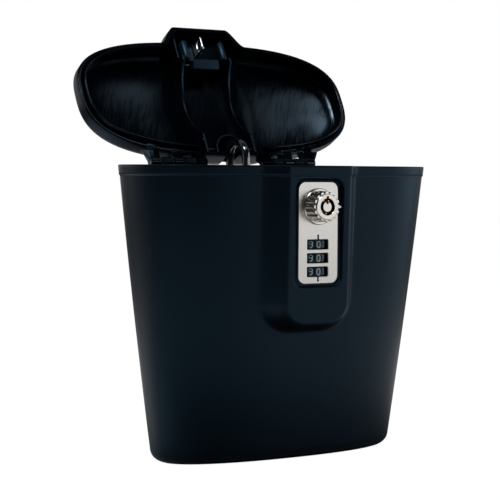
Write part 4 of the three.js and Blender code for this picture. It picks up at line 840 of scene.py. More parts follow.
def lid_height(x, y, inset):
    """Height of the shut lid's skin at a place in plan; inset counts inwards from outside."""
    half_width = LID_HALF_WIDTH - inset
    wall = oval_depth(x, half_width, LID_FRONT - inset, LID_SQUARE)
    band = pilaster_share(np.abs(x) + LID_TAB_SET_IN, BODY_HEIGHT, inset)
    front = mix(wall, pilaster_face(BODY_HEIGHT) - inset, band)
    back = oval_depth(x, half_width, RIM_BACK - inset, LID_SQUARE)
    limit = np.maximum(np.where(y < 0, front, back), 1e-6)
    v = np.clip(np.abs(y) / limit, 0, 1)
    across = np.clip(np.abs(x) / half_width, 0, 1) ** LID_SQUARE
    edge = np.clip(across + v ** LID_SQUARE * (1 - across), 0, 1) ** (1 / LID_SQUARE)
    dome = (DOME_RISE - inset) * (1 - edge ** DOME_SQUARE) ** (1 / DOME_SQUARE)
    raised = (BAND_RISE - inset) * (1 - v ** BAND_SQUARE) ** (1 / BAND_SQUARE)
    return SKIRT_TOP + mix(dome, raised, band)


def lid_point_height(x, y, inset):
    return float(lid_height(np.array(x), np.array(y), inset))


def lid_skin(inset):
    """Rings from the skirt's top to the middle of the roof."""
    plan = lid_plan(inset)
    rings = []
    for i in range(ROOF_STEPS):
        angle = math.pi / 2 * (1 - i / ROOF_STEPS)
        share = math.sin(angle) ** (2 / DOME_SQUARE) if i else 1.0
        ring = plan * share
        height = lid_height(ring[:, 0], ring[:, 1], inset) if i else np.full(len(ring), SKIRT_TOP)
        rings.append(np.column_stack([ring, height]))
    return rings


def lid_ring(inset, z):
    return at_height(lid_plan(inset), z)


def cut_cable_notch(shell):
    """Cuts away, all round the hinge line, what the standing cable would meet as the lid swings."""
    radius = ARCH_REACH + NOTCH_GAP
    half = CABLE_RADIUS + 1.5
    angles = [2 * math.pi * i / NOTCH_STEPS for i in range(NOTCH_STEPS)]
    points = [(x, HINGE_Y + radius * math.cos(a), HINGE_Z + radius * math.sin(a))
              for x in (-half, half) for a in angles]
    ends = [tuple(range(NOTCH_STEPS))[::-1], tuple(range(NOTCH_STEPS, 2 * NOTCH_STEPS))]
    cut_away(shell, "cable_notch", points, ring_faces(2, NOTCH_STEPS) + ends)


def make_lid():
    """Outer roof, skirt, lower edge and inner roof in one run of rings; only the inside is polished."""
    outer = lid_skin(0)
    rows = outer[::-1]
    rows += [lid_ring(0, z) for z in (SKIRT_TOP - SKIRT_STRAIGHT, LID_LOW + LID_OUTER_EDGE)]
    rows += [lid_ring(0.18, LID_LOW + 0.18), lid_ring(LID_OUTER_EDGE, LID_LOW),
             lid_ring(LID_WALL - LID_INNER_EDGE, LID_LOW), lid_ring(LID_WALL - 0.12, LID_LOW + 0.15),
             lid_ring(LID_WALL, LID_LOW + LID_INNER_EDGE), lid_ring(LID_WALL, SKIRT_TOP - SKIRT_STRAIGHT)]
    rows += lid_skin(LID_WALL)
    columns = len(outer[0])
    rings = np.vstack(rows)
    faces = ring_faces(len(rows), columns, flip=True)
    middle_out, middle_in = len(rings), len(rings) + 1
    points = np.vstack([rings, [(0, 0, lid_point_height(0.0, 0.0, inset)) for inset in (0, LID_WALL)]])
    last = (len(rows) - 1) * columns
    for c in range(columns):
        faces.append((c, (c + 1) % columns, middle_out))
        faces.append((last + c, middle_in, last + (c + 1) % columns))
    shell = add_mesh("lid_moulding", points, faces, "lid", LID_PLASTIC, ["lid_shell"], "lid_plastic",
                     LID_SHARP)
    cut_cable_notch(tidy_normals(shell))
    shell.data.materials.append(CASING)
    for face in shell.data.polygons:
        outward = face.normal.x * face.center.x + face.normal.y * face.center.y > 0
        if face.normal.z > 0.05 or (face.normal.z > -0.05 and outward):
            face.material_index = 1
    shade(open_piece(shell), LID_SHARP)


def bead_ring(inset, z):
    """A ring of the lip, kept inside the case's outline too, which is rounder at the back."""
    ring = lid_ring(inset, z)
    if inset > LID_WALL:
        in_case = oval_depth(ring[:, 0], RIM_HALF_WIDTH - inset, RIM_BACK - inset, BACK_SQUARE)
        ring[:, 1] = np.minimum(ring[:, 1], in_case)
    return ring


def make_bead(side, name):
    """Locating lip that stands in the case's rim when the lid is shut, on one half of the lid."""
    rings = [bead_ring(inset, z) for inset, z in BEAD]
    plan = rings[0]
    chosen = [c for c in range(len(plan)) if side * plan[c][0] > 0
              and not (plan[c][1] < 0 and abs(plan[c][0]) < BEAD_FRONT_GAP)
              and not (plan[c][1] > 0 and abs(plan[c][0]) < BEAD_REAR_GAP)]
    points = [ring[c] for c in chosen for ring in rings]
    faces = strip_faces(len(chosen), len(rings))
    tidy_normals(add_mesh(name, opened(points), faces, "lid", LID_PLASTIC, (), "lid_plastic", 50))


# Insert inside the lid
def standing_wall(name, path, low, thick):
    """A thin wall that hangs from the lid's roof along a path in plan, with a rounded lower edge."""
    path = np.asarray(path, float)
    way = np.gradient(path, axis=0)
    way /= np.linalg.norm(way, axis=1)[:, None]
    side = np.column_stack([-way[:, 1], way[:, 0]])
    half, edge = thick / 2, INSERT_EDGE
    profile = [(-half, None), (-half, edge), (-half + 0.3 * edge, 0.3 * edge), (-half + edge, 0),
               (half - edge, 0), (half - 0.3 * edge, 0.3 * edge), (half, edge), (half, None)]
    points = []
    for place, out, bottom in zip(path, side, low):
        for across, up in profile:
            x, y = place + out * across
            roof = lid_point_height(x, y, ROOF_OVERLAP)
            points.append((x, y, max(roof, bottom + edge + 0.1) if up is None else bottom + up))
    faces = strip_faces(len(path), len(profile))
    piece = add_mesh(name, opened(points), faces, "lid", INSERT_PLASTIC, (), "lid_plastic", 40)
    return tidy_normals(piece)


def scoop_low(y):
    """Lower edge of a rib: an arc for the scoop, and a step up near the front."""
    radius = ((SCOOP_SPAN / 2) ** 2 + SCOOP_HEIGHT ** 2) / (2 * SCOOP_HEIGHT)
    away = np.clip(np.abs(y - SCOOP_CENTRE), 0, SCOOP_SPAN / 2)
    rise = np.sqrt(radius ** 2 - away ** 2) - (radius - SCOOP_HEIGHT)
    step = RIB_FRONT_RISE * (1 - smooth((y - RIB_STEP + RIB_STEP_BLEND / 2) / RIB_STEP_BLEND))
    return INSERT_LOW + np.maximum(rise, 0) + step


def make_ribs():
    places = np.concatenate([np.linspace(RIB_FRONT_END, RIB_STEP - 1, 24),
                             np.linspace(RIB_STEP - 0.8, RIB_STEP + 0.8, 9),
                             np.linspace(RIB_STEP + 1, RIB_BACK_END, 100)])
    low = scoop_low(places)
    left = standing_wall("insert_rib_left", [(-RIB_X, y) for y in places], low, RIB_THICK)
    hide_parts("lid_insert")
    standing_wall("insert_rib_right", [(RIB_X, y) for y in places], low, RIB_THICK)


def make_cable_pocket():
    """A wall round the place where the cable stands when the lid is shut."""
    front = HINGE_Y - ARCH_REACH - POCKET_GAP - POCKET_WALL / 2
    turn = [(-POCKET_HALF * math.cos(a), front + POCKET_HALF - POCKET_HALF * math.sin(a))
            for a in np.linspace(0, math.pi, 33)]
    path = [(-POCKET_HALF, y) for y in np.linspace(RIB_BACK_END, turn[0][1] + 0.5, 8)] + turn
    path += [(POCKET_HALF, y) for y in np.linspace(turn[-1][1] + 0.5, RIB_BACK_END, 8)]
    standing_wall("insert_cable_pocket", path, np.full(len(path), INSERT_LOW), POCKET_WALL)


def insert_web(name, x, y, z):
    """A flat wall of the insert with slightly rounded edges."""
    points, faces = box_points(*x, *y, *z)
    piece = add_mesh(name, points, faces, "lid", INSERT_PLASTIC, (), "lid_plastic")
    bevel_edges(open_piece(tidy_normals(piece)), WEB_EDGE)


def make_ledge():
    section = [(LEDGE_FRONT, 182.4), (-23, 184.4), (-23, 186.4), (LEDGE_WALL_BACK, 190.5),
               (LEDGE_FRONT, 190.5)]
    bar = plate_mesh("insert_ledge", [section], -LEDGE_HALF, LEDGE_HALF, FACING_RIGHT, LEDGE_EDGE)
    # The ledge bar takes the lighter copy of the insert's plastic, which is painted light.
    settle_on_lid(bar, LEDGE_LIT_PLASTIC)
    insert_web("insert_ledge_wall", (-RIB_X, RIB_X), (LEDGE_FRONT, LEDGE_WALL_BACK),
               (LEDGE_WALL_LOW, LEDGE_WALL_TOP))


def make_lug(side, name):
    """Rounded lug beside the striker, and the web that carries it."""
    x = side * LUG_X
    end = [(0, -LUG_HALF_LENGTH), (LUG_RADIUS - 1.2, -6.9), (LUG_RADIUS - 0.4, -6.4), (LUG_RADIUS, -5.4)]
    profile = end + [(radius, -along) for radius, along in end[::-1]]
    # The lug takes the ledge's lighter plastic, which is painted light.
    lug = turned("insert_lug_" + name, profile, (x, LUG_Y, INSERT_LOW + LUG_RADIUS), (0, 1, 0), "lid",
                 LEDGE_LIT_PLASTIC, 32, slot="lid_plastic")
    open_piece(lug)
    insert_web("insert_lug_web_" + name, (x - LUG_RADIUS, x + LUG_RADIUS), (LUG_WEB_FRONT, LUG_WEB_BACK),
               (INSERT_LOW + LUG_RADIUS, LUG_WEB_TOP))


def make_nub(side, name):
    """Small round nub on a rib's lower edge."""
    profile = [(0, 0), (1, 0.1), (NUB_RADIUS, 0.5), (NUB_RADIUS, NUB_HEIGHT), (0, NUB_HEIGHT)]
    place = (side * (RIB_X + RIB_THICK / 2), NUB_Y, INSERT_LOW)
    nub = turned("insert_nub_" + name, profile, place, (0, 0, 1), "lid", INSERT_PLASTIC, 24,
                 slot="lid_plastic")
    open_piece(nub)


def make_striker_seat():
    seat = [(-RIB_X, STRIKER_Y - SEAT_REACH), (RIB_X, STRIKER_Y - SEAT_REACH),
            (RIB_X, STRIKER_Y + SEAT_REACH), (-RIB_X, STRIKER_Y + SEAT_REACH)]
    half, reach = STRIKER_HALF + STRIKER_GAP, STRIKER_REACH + STRIKER_GAP
    slot = rounded_outline(STRIKER_X - half, STRIKER_X + half, STRIKER_Y - reach, STRIKER_Y + reach, 0.3, 3)
    piece = plate_mesh("insert_striker_seat", [seat, slot], SEAT_LOW, SEAT_HIGH, FACING_UP, SEAT_EDGE)
    # The seat takes the darker, duller copy of the insert's plastic, which is painted shade.
    settle_on_lid(piece, SEAT_SHADE_PLASTIC)


def make_rear_webs():
    for name, x in (("left", (-RIB_X, -REAR_WEB_INNER)), ("right", (REAR_WEB_INNER, RIB_X))):
        insert_web("insert_rear_web_" + name, x, (REAR_WEB_Y, REAR_WEB_Y + REAR_WEB_THICK),
                   (REAR_WEB_LOW, REAR_WEB_TOP))


def make_insert():
    make_ribs()
    make_cable_pocket()
    make_ledge()
    for side, name in ((-1, "left"), (1, "right")):
        make_lug(side, name)
        make_nub(side, name)
    make_striker_seat()
    make_rear_webs()


def make_striker():
    """Its tongue stands through the seat with an eye near its tip; its foot lies on the seat's far side."""
    foot_low, tip = SEAT_HIGH + STRIKER_GAP, STRIKER_TIP
    outline = rounded_outline(STRIKER_Y - STRIKER_REACH, STRIKER_Y + STRIKER_REACH, tip,
                              foot_low + FOOT_OVERLAP, STRIKER_CORNER)
    eye = rounded_outline(STRIKER_Y - EYE_REACH, STRIKER_Y + EYE_REACH, tip + EYE_LOW, tip + EYE_HIGH,
                          EYE_CORNER, 4)
    tongue = plate_mesh("striker_tongue", [outline, eye], STRIKER_X - STRIKER_HALF, STRIKER_X + STRIKER_HALF,
                        FACING_RIGHT, STRIKER_EDGE)
    settle_on_lid(tongue, CHROME, ["striker"])
    foot = rounded_outline(STRIKER_X - FOOT_HALF_WIDTH, STRIKER_X + FOOT_HALF_WIDTH, STRIKER_Y - FOOT_REACH,
                           STRIKER_Y + FOOT_REACH, FOOT_CORNER, 3)
    holes = [circle_outline(SCREW_RADIUS, 24, STRIKER_X + side * SCREW_X, STRIKER_Y) for side in (-1, 1)]
    plate = plate_mesh("striker_foot", [foot, *holes], foot_low, foot_low + FOOT_THICK, FACING_UP, SEAT_EDGE)
    settle_on_lid(plate, CHROME, ())


# Hinges
def knuckle_spans(first):
    """Ends of every second knuckle on both sides, counted outwards from the first."""
    spans = []
    for side in (-1, 1):
        for i in range(first, KNUCKLES, 2):
            near = KNUCKLE_START + i * (KNUCKLE_LENGTH + KNUCKLE_GAP)
            spans.append(tuple(sorted((side * near, side * (near + KNUCKLE_LENGTH)))))
    return spans


def back_wall(x):
    return float(oval_depth(np.array(x), LID_HALF_WIDTH, RIM_BACK, BACK_SQUARE))


def knuckle(name, x0, x1, body, material, slot):
    length, edge, radius = x1 - x0, KNUCKLE_EDGE, KNUCKLE_RADIUS
    profile = [(KNUCKLE_BORE, 0), (radius - edge, 0), (radius, edge),
               (radius, length - edge), (radius - edge, length), (KNUCKLE_BORE, length)]
    return turned(name, profile, (x0, HINGE_Y, HINGE_Z), (1, 0, 0), body, material, 40, slot=slot)


def lid_hinge_arm(name, x0, x1):
    """Arm from a lid knuckle into the lid's wall."""
    wall = back_wall(max(abs(x0), abs(x1))) - LID_WALL / 2
    outline = [(wall, LID_LOW), (HINGE_Y - KNUCKLE_RADIUS * 0.7, LID_LOW),
               (HINGE_Y, HINGE_Z - KNUCKLE_RADIUS * 0.3),
               (HINGE_Y + KNUCKLE_RADIUS * 0.5, HINGE_Z + KNUCKLE_RADIUS * 0.5),
               (wall + LID_WALL / 2, SKIRT_TOP + ARM_ON_SKIRT), (wall, SKIRT_TOP + ARM_ON_SKIRT)]
    settle_on_lid(plate_mesh(name, [outline], x0, x1, FACING_RIGHT, HINGE_EDGE), LID_PLASTIC)


def case_hinge_bracket(name, x0, x1):
    """Bracket under a case knuckle, sloping down to the case's back wall."""
    wall = back_wall(max(abs(x0), abs(x1))) - BODY_WALL / 2
    back, under_rim = HINGE_Y + BRACKET_REACH, BODY_HEIGHT - BRACKET_UNDER_RIM
    outline = [(wall, HINGE_Z - BRACKET_DROP), (HINGE_Y + KNUCKLE_RADIUS, HINGE_Z - KNUCKLE_RADIUS),
               (back, HINGE_Z - KNUCKLE_RADIUS / 2), (back, HINGE_Z + BRACKET_TOP), (HINGE_Y, HINGE_Z),
               (HINGE_Y - KNUCKLE_RADIUS * 0.6, under_rim), (wall, under_rim)]
    settle(plate_mesh(name, [outline], x0, x1, FACING_RIGHT, HINGE_EDGE), "case", CASING, ())


def lid_hinge_web(side, name):
    """Flared web at the outer end of a hinge group."""
    near, far = HINGE_END - KNUCKLE_LENGTH / 2, HINGE_END + WEB_REACH
    outline = [(side * near, HINGE_Y), (side * HINGE_END, HINGE_Y), (side * far, WEB_BACK),
               (side * near, WEB_BACK)]
    piece = plate_mesh("lid_hinge_web_" + name, [outline[::side]], LID_LOW, LID_LOW + WEB_THICK, FACING_UP,
                       HINGE_WEB_EDGE)
    settle_on_lid(piece, LID_PLASTIC)


def make_hinges():
    for i, (x0, x1) in enumerate(knuckle_spans(0), 1):
        lid_hinge_arm(f"lid_hinge_arm_{i}", x0, x1)
        knuckle(f"lid_knuckle_{i}", x0, x1, "lid", LID_PLASTIC, "lid_plastic")
    for i, (x0, x1) in enumerate(knuckle_spans(1), 1):
        case_hinge_bracket(f"case_hinge_bracket_{i}", x0, x1)
        knuckle(f"case_knuckle_{i}", x0, x1, "case", CASING, "casing")
    for side, name in ((-1, "left"), (1, "right")):
        lid_hinge_web(side, name)


# Lock
def make_faceplate():
    outline = rounded_outline(-PLATE_WIDTH / 2, PLATE_WIDTH / 2, PLATE_BOTTOM, PLATE_TOP, PLATE_CORNER)
    left, right = WINDOW_SHIFT - WINDOW_WIDTH / 2, WINDOW_SHIFT + WINDOW_WIDTH / 2
    windows = [rounded_outline(left, right, z - WINDOW_HEIGHT / 2, z + WINDOW_HEIGHT / 2, WINDOW_CORNER, 3)
               for z in WHEEL_LEVELS]
    bore = circle_outline(KNOB_BORE, 48, 0, KNOB_Z)
    plate = plate_mesh("lock_plate", [outline, *windows, bore], -RECESS_PLANE, -PLATE_FRONT, FACING_FRONT,
                       PLATE_EDGE)
    settle(plate, "case", NICKEL, ["lock_faceplate"])


def make_index_marks():
    """Inked marks above the first window and below the last."""
    top, bottom = WHEEL_LEVELS[0] + WINDOW_HEIGHT / 2, WHEEL_LEVELS[-1] - WINDOW_HEIGHT / 2
    half = INDEX_WIDTH / 2
    for name, low, high in (("index_mark_top", top, top + INDEX_LENGTH),
                            ("index_mark_bottom", bottom - INDEX_LENGTH, bottom)):
        points, faces = box_points(-half, half, PLATE_FRONT - INK_STAND, PLATE_FRONT + INDEX_DEPTH,
                                   low, high)
        tidy_normals(add_mesh(name, points, faces, "case", INDEX_BLACK, (), "keyway"))


GRIP_SHARP, PLUG_SHARP, WHEEL_SHARP = 32, 32, 40
FLANGE_FRONT, GRIP_FRONT = KNOB_BACK - FLANGE_THICK, KNOB_FACE + NOSE_LENGTH
FLANGE_BACK_EDGE, FLANGE_FRONT_EDGE, NOSE_EDGE, TOOTH_FOOT = 0.25, 0.35, 0.3, 0.6
GRIP_FOOT_OUT, GRIP_FOOT_IN, GRIP_FOOT_RISE = 0.25, 0.1, 0.15
GRIP_SHARES, FACE_RADII = (0.1, 0.4, 0.7, 0.95), (7, 6.3, 5.6)


def grip_rings():
    """Rings of (radius, place) from the flange's back over the teeth and the nose to the keyway's floor."""
    angles = np.linspace(0, 2 * math.pi, FLUTES * FLUTE_STEPS, endpoint=False)
    fluted = KNOB_RADIUS - FLUTE_DEPTH * (0.5 - 0.5 * np.cos(angles * FLUTES)) ** FLUTE_SHARPNESS
    keyway_floor = KNOB_FACE + KEYWAY_DEPTH + 1
    rings = [(SHAFT_RADIUS, KNOB_BACK), (FLANGE_RADIUS - FLANGE_BACK_EDGE, KNOB_BACK),
             (FLANGE_RADIUS, KNOB_BACK - FLANGE_BACK_EDGE),
             (FLANGE_RADIUS, FLANGE_FRONT + FLANGE_FRONT_EDGE),
             (FLANGE_RADIUS - FLANGE_FRONT_EDGE, FLANGE_FRONT),
             (KNOB_RADIUS + GRIP_FOOT_OUT, FLANGE_FRONT),
             (KNOB_RADIUS + GRIP_FOOT_IN, FLANGE_FRONT + GRIP_FOOT_RISE), (fluted, FLANGE_FRONT)]
    rings += [(fluted, mix(FLANGE_FRONT, GRIP_FRONT, share)) for share in GRIP_SHARES]
    rings += [(fluted - KNOB_TOOTH_STEP, GRIP_FRONT + 0.05),
              (np.minimum(fluted - 2 * KNOB_TOOTH_STEP, NOSE_RADIUS + TOOTH_FOOT), GRIP_FRONT),
              (NOSE_RADIUS, GRIP_FRONT), (NOSE_RADIUS, KNOB_FACE + NOSE_EDGE),
              (NOSE_RADIUS - NOSE_EDGE, KNOB_FACE)]
    rings += [(radius, KNOB_FACE) for radius in (*FACE_RADII, KEYWAY_RADIUS + KEYWAY_EDGE)]
    rings += [(KEYWAY_RADIUS, KNOB_FACE + KEYWAY_EDGE), (KEYWAY_RADIUS, keyway_floor), (0.01, keyway_floor)]
    return angles, rings


def make_knob_grip():
    """Flange, grip with deep flutes that end in teeth, a plain nose in front and the bored face."""
    angles, rings = grip_rings()
    points = []
    for radius, y in rings:
        radius = np.broadcast_to(radius, angles.shape)
        points.append(np.column_stack([radius * np.cos(angles), np.full(len(angles), y),
                                       KNOB_Z + radius * np.sin(angles)]))
    faces = ring_faces(len(rings), len(angles))
    knob = add_mesh("knob_grip", np.vstack(points), faces, "knob", KNOB_NICKEL, ["knob"], "nickel",
                    GRIP_SHARP)
    reach = KEYWAY_RADIUS + KEY_NOTCH_REACH
    notch = box_points(-KEY_NOTCH_HALF, KEY_NOTCH_HALF, KNOB_FACE - 1, KNOB_FACE + KEYWAY_DEPTH,
                       KNOB_Z + 3, KNOB_Z + reach)
    cut_away(tidy_normals(knob), "notch", *notch)
    shade(knob, GRIP_SHARP)
    # Faces of the keyway and its notch that lie deeper than the knob's face take the near-black keyway
    # material.
    knob.data.materials.append(KEYWAY_BLACK)
    for face in knob.data.polygons:
        across, up = face.center.x / MM, face.center.z / MM - KNOB_Z
        if math.hypot(across, up) < reach and face.center.y > (KNOB_FACE + 0.2) * MM:
            face.material_index = 1


def make_pointer():
    points, faces = box_points(KNOB_RADIUS - FLUTE_DEPTH, KNOB_RADIUS + POINTER_REACH, GRIP_FRONT,
                               GRIP_FRONT + POINTER_LENGTH, KNOB_Z - POINTER_HALF, KNOB_Z + POINTER_HALF)
    nib = add_mesh("knob_pointer", points, faces, "knob", KNOB_NICKEL, (), "nickel")
    bevel_edges(tidy_normals(nib), POINTER_EDGE)


def make_knob_shaft():
    """Round shaft, the square that the cam sits on, and the thread for its nut."""
    turned("knob_shaft", [(0, 0), (SHAFT_RADIUS, 0), (SHAFT_RADIUS, SHAFT_LENGTH), (0, SHAFT_LENGTH)],
           (0, KNOB_BACK, KNOB_Z), (0, 1, 0), "knob", STEEL, 40, slot="steel")
    points, faces = box_points(-SQUARE_HALF, SQUARE_HALF, KNOB_BACK + SQUARE_START, KNOB_BACK + SQUARE_END,
                               KNOB_Z - SQUARE_HALF, KNOB_Z + SQUARE_HALF)
    tidy_normals(add_mesh("knob_square", points, faces, "knob", STEEL, (), "steel"))
    start = KNOB_BACK + THREAD_START
    length = float(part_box("knob")[1].y / MM) - start
    thread = [(0, 0), (THREAD_RADIUS, 0), (THREAD_RADIUS, length - THREAD_CHAMFER),
              (THREAD_RADIUS - THREAD_CHAMFER, length), (0, length)]
    turned("knob_thread", thread, (0, start, KNOB_Z), (0, 1, 0), "knob", STEEL, 24, slot="steel")


def make_key_plug():
    """Post and drum of the keyway; only the post's face is bright."""
    drum = KEYWAY_RADIUS - PLUG_GAP
    profile = [(0, PLUG_SET_IN), (POST_RADIUS - PLUG_EDGE, PLUG_SET_IN),
               (POST_RADIUS, PLUG_SET_IN + PLUG_EDGE), (POST_RADIUS, KEYWAY_DEPTH), (drum, KEYWAY_DEPTH),
               (drum, PLUG_LENGTH), (0, PLUG_LENGTH)]
    plug = turned("key_plug", profile, (0, KNOB_FACE, KNOB_Z), (0, 1, 0), "key_plug", KEYWAY_BLACK,
                  replaces=["key_rotor"], slot="keyway")
    notch = box_points(-KEY_NOTCH_HALF, KEY_NOTCH_HALF, KNOB_FACE - 1, KNOB_FACE + KEYWAY_DEPTH - 0.02,
                       KNOB_Z + POST_RADIUS - KEY_NOTCH_INWARD, KNOB_Z + 4)
    cut_away(plug, "plug_notch", *notch)
    shade(plug, PLUG_SHARP)
    plug.data.materials.append(KNOB_NICKEL)
    for face in plug.data.polygons:
        if face.normal.y < -0.9 and face.center.y < (KNOB_FACE + 0.5) * MM:
            face.material_index = 1
    for i in range(1, KEY_PINS + 1):
        dress(f"key_pin_{i}", BRASS)


# Number wheels
def stroke_outline(points, width):
    """The two edges of a band of even width along a line of points."""
    points = np.asarray(points, float)
    way = np.gradient(points, axis=0)
    way /= np.linalg.norm(way, axis=1)[:, None]
    side = np.column_stack([-way[:, 1], way[:, 0]]) * width / 2
    return points + side, points - side


def arc(cx, cy, rx, ry, start, stop, count=14):
    angles = np.radians(np.linspace(start, stop, count))
    return [(cx + rx * math.cos(a), cy + ry * math.sin(a)) for a in angles]


def digit_strokes(digit):
    """Lines of a plain digit: w and h are its half width and half height, q is half of h."""
    w, h = DIGIT_WIDTH / 2 - DIGIT_STROKE / 2, DIGIT_HEIGHT / 2 - DIGIT_STROKE / 2
    q = h / 2
    loop = arc(0, h - w, w, w, 0, 180) + arc(0, -h + w, w, w, 180, 360) + [(w, h - w)]
    upper = arc(0, q, w, q, 0, 360, 22)
    lower = arc(0, -q, w, q, 0, 360, 22)
    table = {
        0: [loop],
        1: [[(-w * 0.7, h * 0.62), (0.1, h), (0.1, -h)]],
        2: [arc(0, q, w, q, 165, -35) + [(-w, -h), (w, -h)]],
        3: [arc(0, q, w, q, 150, -90), arc(0, -q, w, q, 90, -150)],
        4: [[(w * 0.45, -h), (w * 0.45, h), (-w, -q * 0.6), (w, -q * 0.6)]],
        5: [[(w, h), (-w * 0.8, h), (-w * 0.8, q * 0.3)], arc(-0.05, -q * 0.75, w, q * 1.15, 125, -150)],
        6: [lower, arc(0, 0, w, h, 60, 180)],
        7: [[(-w, h), (w, h), (-w * 0.3, -h)]],
        8: [upper, lower],
        9: [upper, arc(0, 0, w, h, -120, 0)],
    }
    return table[digit]


def wheel_ring(radius, height, grooved=False):
    """A ring of the wheel; grooved rings dip between two digits."""
    steps = STEPS_PER_DIGIT * DIGITS
    turn = -math.pi / 2 - math.pi / DIGITS
    ring = []
    for i in range(steps):
        place = i % STEPS_PER_DIGIT
        near = min(place, STEPS_PER_DIGIT - place)
        groove = WHEEL_GROOVE * max(0.0, 1 - near / GROOVE_STEPS) if grooved else 0
        reach = radius - groove
        angle = turn + 2 * math.pi * i / steps
        ring.append((reach * math.cos(angle), WHEEL_AXIS + reach * math.sin(angle), height))
    return ring


def make_wheel(index, z):
    """Drum with grooves between its ten digits, a hub on both sides and a bore for the spindle."""
    name, body = f"number_wheel_{index}", f"wheel_{index}"
    half, hub = WHEEL_HEIGHT / 2, WHEEL_HUB_REACH
    rim = [(-half, WHEEL_FACE_DEPTH), (-half, WHEEL_EDGE), (-half + WHEEL_EDGE_HEIGHT, 0),
           (half - WHEEL_EDGE_HEIGHT, 0), (half, WHEEL_EDGE), (half, WHEEL_FACE_DEPTH)]
    rings = [wheel_ring(WHEEL_BORE, z - hub), wheel_ring(WHEEL_HUB, z - hub)]
    rings += [wheel_ring(WHEEL_HUB, z - half)]
    rings += [wheel_ring(WHEEL_RADIUS - inset, z + height, True) for height, inset in rim]
    rings += [wheel_ring(WHEEL_HUB, z + half)]
    rings += [wheel_ring(WHEEL_HUB, z + hub), wheel_ring(WHEEL_BORE, z + hub)]
    steps = len(rings[0])
    last = (len(rings) - 1) * steps
    faces = ring_faces(len(rings), steps)
    faces += [(last + i, last + (i + 1) % steps, (i + 1) % steps, i) for i in range(steps)]
    tidy_normals(add_mesh(name + "_drum", np.vstack(rings), faces, body, WHEEL_BLACK, [name], "wheel_black",
                          WHEEL_SHARP))
    for digit in range(DIGITS):
        print_digit(f"{name}_digit_{digit}", digit, body, z)


def print_digit(name, digit, body, z):
    """A printed digit, wrapped on the wheel a hair above its face; 0 shows in front with 9 on its left."""
    points, faces = [], []
    radius = WHEEL_RADIUS + INK_STAND
    centre = -math.pi / 2 + 2 * math.pi * digit / DIGITS
    for line in digit_strokes(digit):
        dense = [line[0]]
        for a, b in zip(line, line[1:]):
            count = max(1, int(math.dist(a, b) / DIGIT_SPACING))
            dense += [(mix(a[0], b[0], k / count), mix(a[1], b[1], k / count)) for k in range(1, count + 1)]
        start = len(points)
        for edges in zip(*stroke_outline(dense, DIGIT_STROKE)):
            for x, y in edges:
                angle = centre + x / radius
                points.append((radius * math.cos(angle), WHEEL_AXIS + radius * math.sin(angle), z + y))
        faces += [(start + 2 * i, start + 2 * i + 1, start + 2 * i + 3, start + 2 * i + 2)
                  for i in range(len(dense) - 1)]
    add_mesh(name, points, faces, body, DIGIT_PALE, (), "wheel_black")


# Tether cable
def cable_route():
    """From the case's inside up over the rim in an arch, and down the back to the coil."""
    arch = [(0, ARCH_Y + ARCH_RADIUS * math.cos(a), ARCH_Z + ARCH_RADIUS * math.sin(a))
            for a in np.radians((180, 150, 120, 90, 60, 30, 0))]
    return [(0, 28.9, 68), (0, 29.6, 82), (0, 31.6, 100), (0, 33.6, 122), (0, 34.7, 145), (0, 35, 168),
            *arch, (0, 55.2, 168), (0, 55.6, 140), (0, 56, 110), (0, 56.8, 82), (0.3, 57.6, 58),
            (2.2, 57.8, 38), (7.4, 57.4, 20), (16, 56, 7.6), (26, 52.6, 3.2)]


def coil_point(turn):
    """A place on the coil after some turns: it spirals in, climbs a layer, and spirals out again."""
    turns_in = COIL_STEPS_IN / COIL_STEPS
    inwards = turn if turn < turns_in else 2 * turns_in - turn
    radius = COIL_RADIUS - COIL_PITCH * inwards
    angle = COIL_START + 2 * math.pi * turn
    climb = float(smooth((turn - turns_in) * 2 + 0.5))
    return (COIL_X + radius * math.cos(angle), COIL_Y + radius * math.sin(angle),
            mix(COIL_LOW, COIL_HIGH, climb))


def coil_lead(turn, length):
    """A place straight on from the coil, or before it where the length is negative."""
    angle = COIL_START + 2 * math.pi * turn
    x, y, z = coil_point(turn)
    return (x - math.sin(angle) * length, y + math.cos(angle) * length, z)


def flowing(points, spacing):
    """Points of a centripetal Catmull-Rom curve through these, evenly close together."""
    points = [np.array(p, float) for p in points]
    points = [2 * points[0] - points[1], *points, 2 * points[-1] - points[-2]]
    made = []
    for p0, p1, p2, p3 in zip(points, points[1:], points[2:], points[3:]):
        t0 = 0
        t1 = t0 + np.linalg.norm(p1 - p0) ** 0.5
        t2 = t1 + np.linalg.norm(p2 - p1) ** 0.5
        t3 = t2 + np.linalg.norm(p3 - p2) ** 0.5
        for t in np.linspace(t1, t2, max(2, round(np.linalg.norm(p2 - p1) / spacing)), endpoint=False):
            a1 = (t1 - t) / (t1 - t0) * p0 + (t - t0) / (t1 - t0) * p1
            a2 = (t2 - t) / (t2 - t1) * p1 + (t - t1) / (t2 - t1) * p2
            a3 = (t3 - t) / (t3 - t2) * p2 + (t - t2) / (t3 - t2) * p3
            b1 = (t2 - t) / (t2 - t0) * a1 + (t - t0) / (t2 - t0) * a2
            b2 = (t3 - t) / (t3 - t1) * a2 + (t - t1) / (t3 - t1) * a3
            made.append((t2 - t) / (t2 - t1) * b1 + (t - t1) / (t2 - t1) * b2)
    return made + [points[-2]]


def tail_points(end):
    """From the coil's end straight on, down to the level of the eye's ferrule."""
    tail = [end]
    for i in range(TAIL_POINTS + 1):
        share = i / TAIL_POINTS
        down = float(smooth((share - 0.06) / 0.88))
        tail.append((end[0] - JOINT_GAP - share * TAIL_RUN, end[1], mix(COIL_HIGH, FERRULE_LEVEL, down)))
    return tail


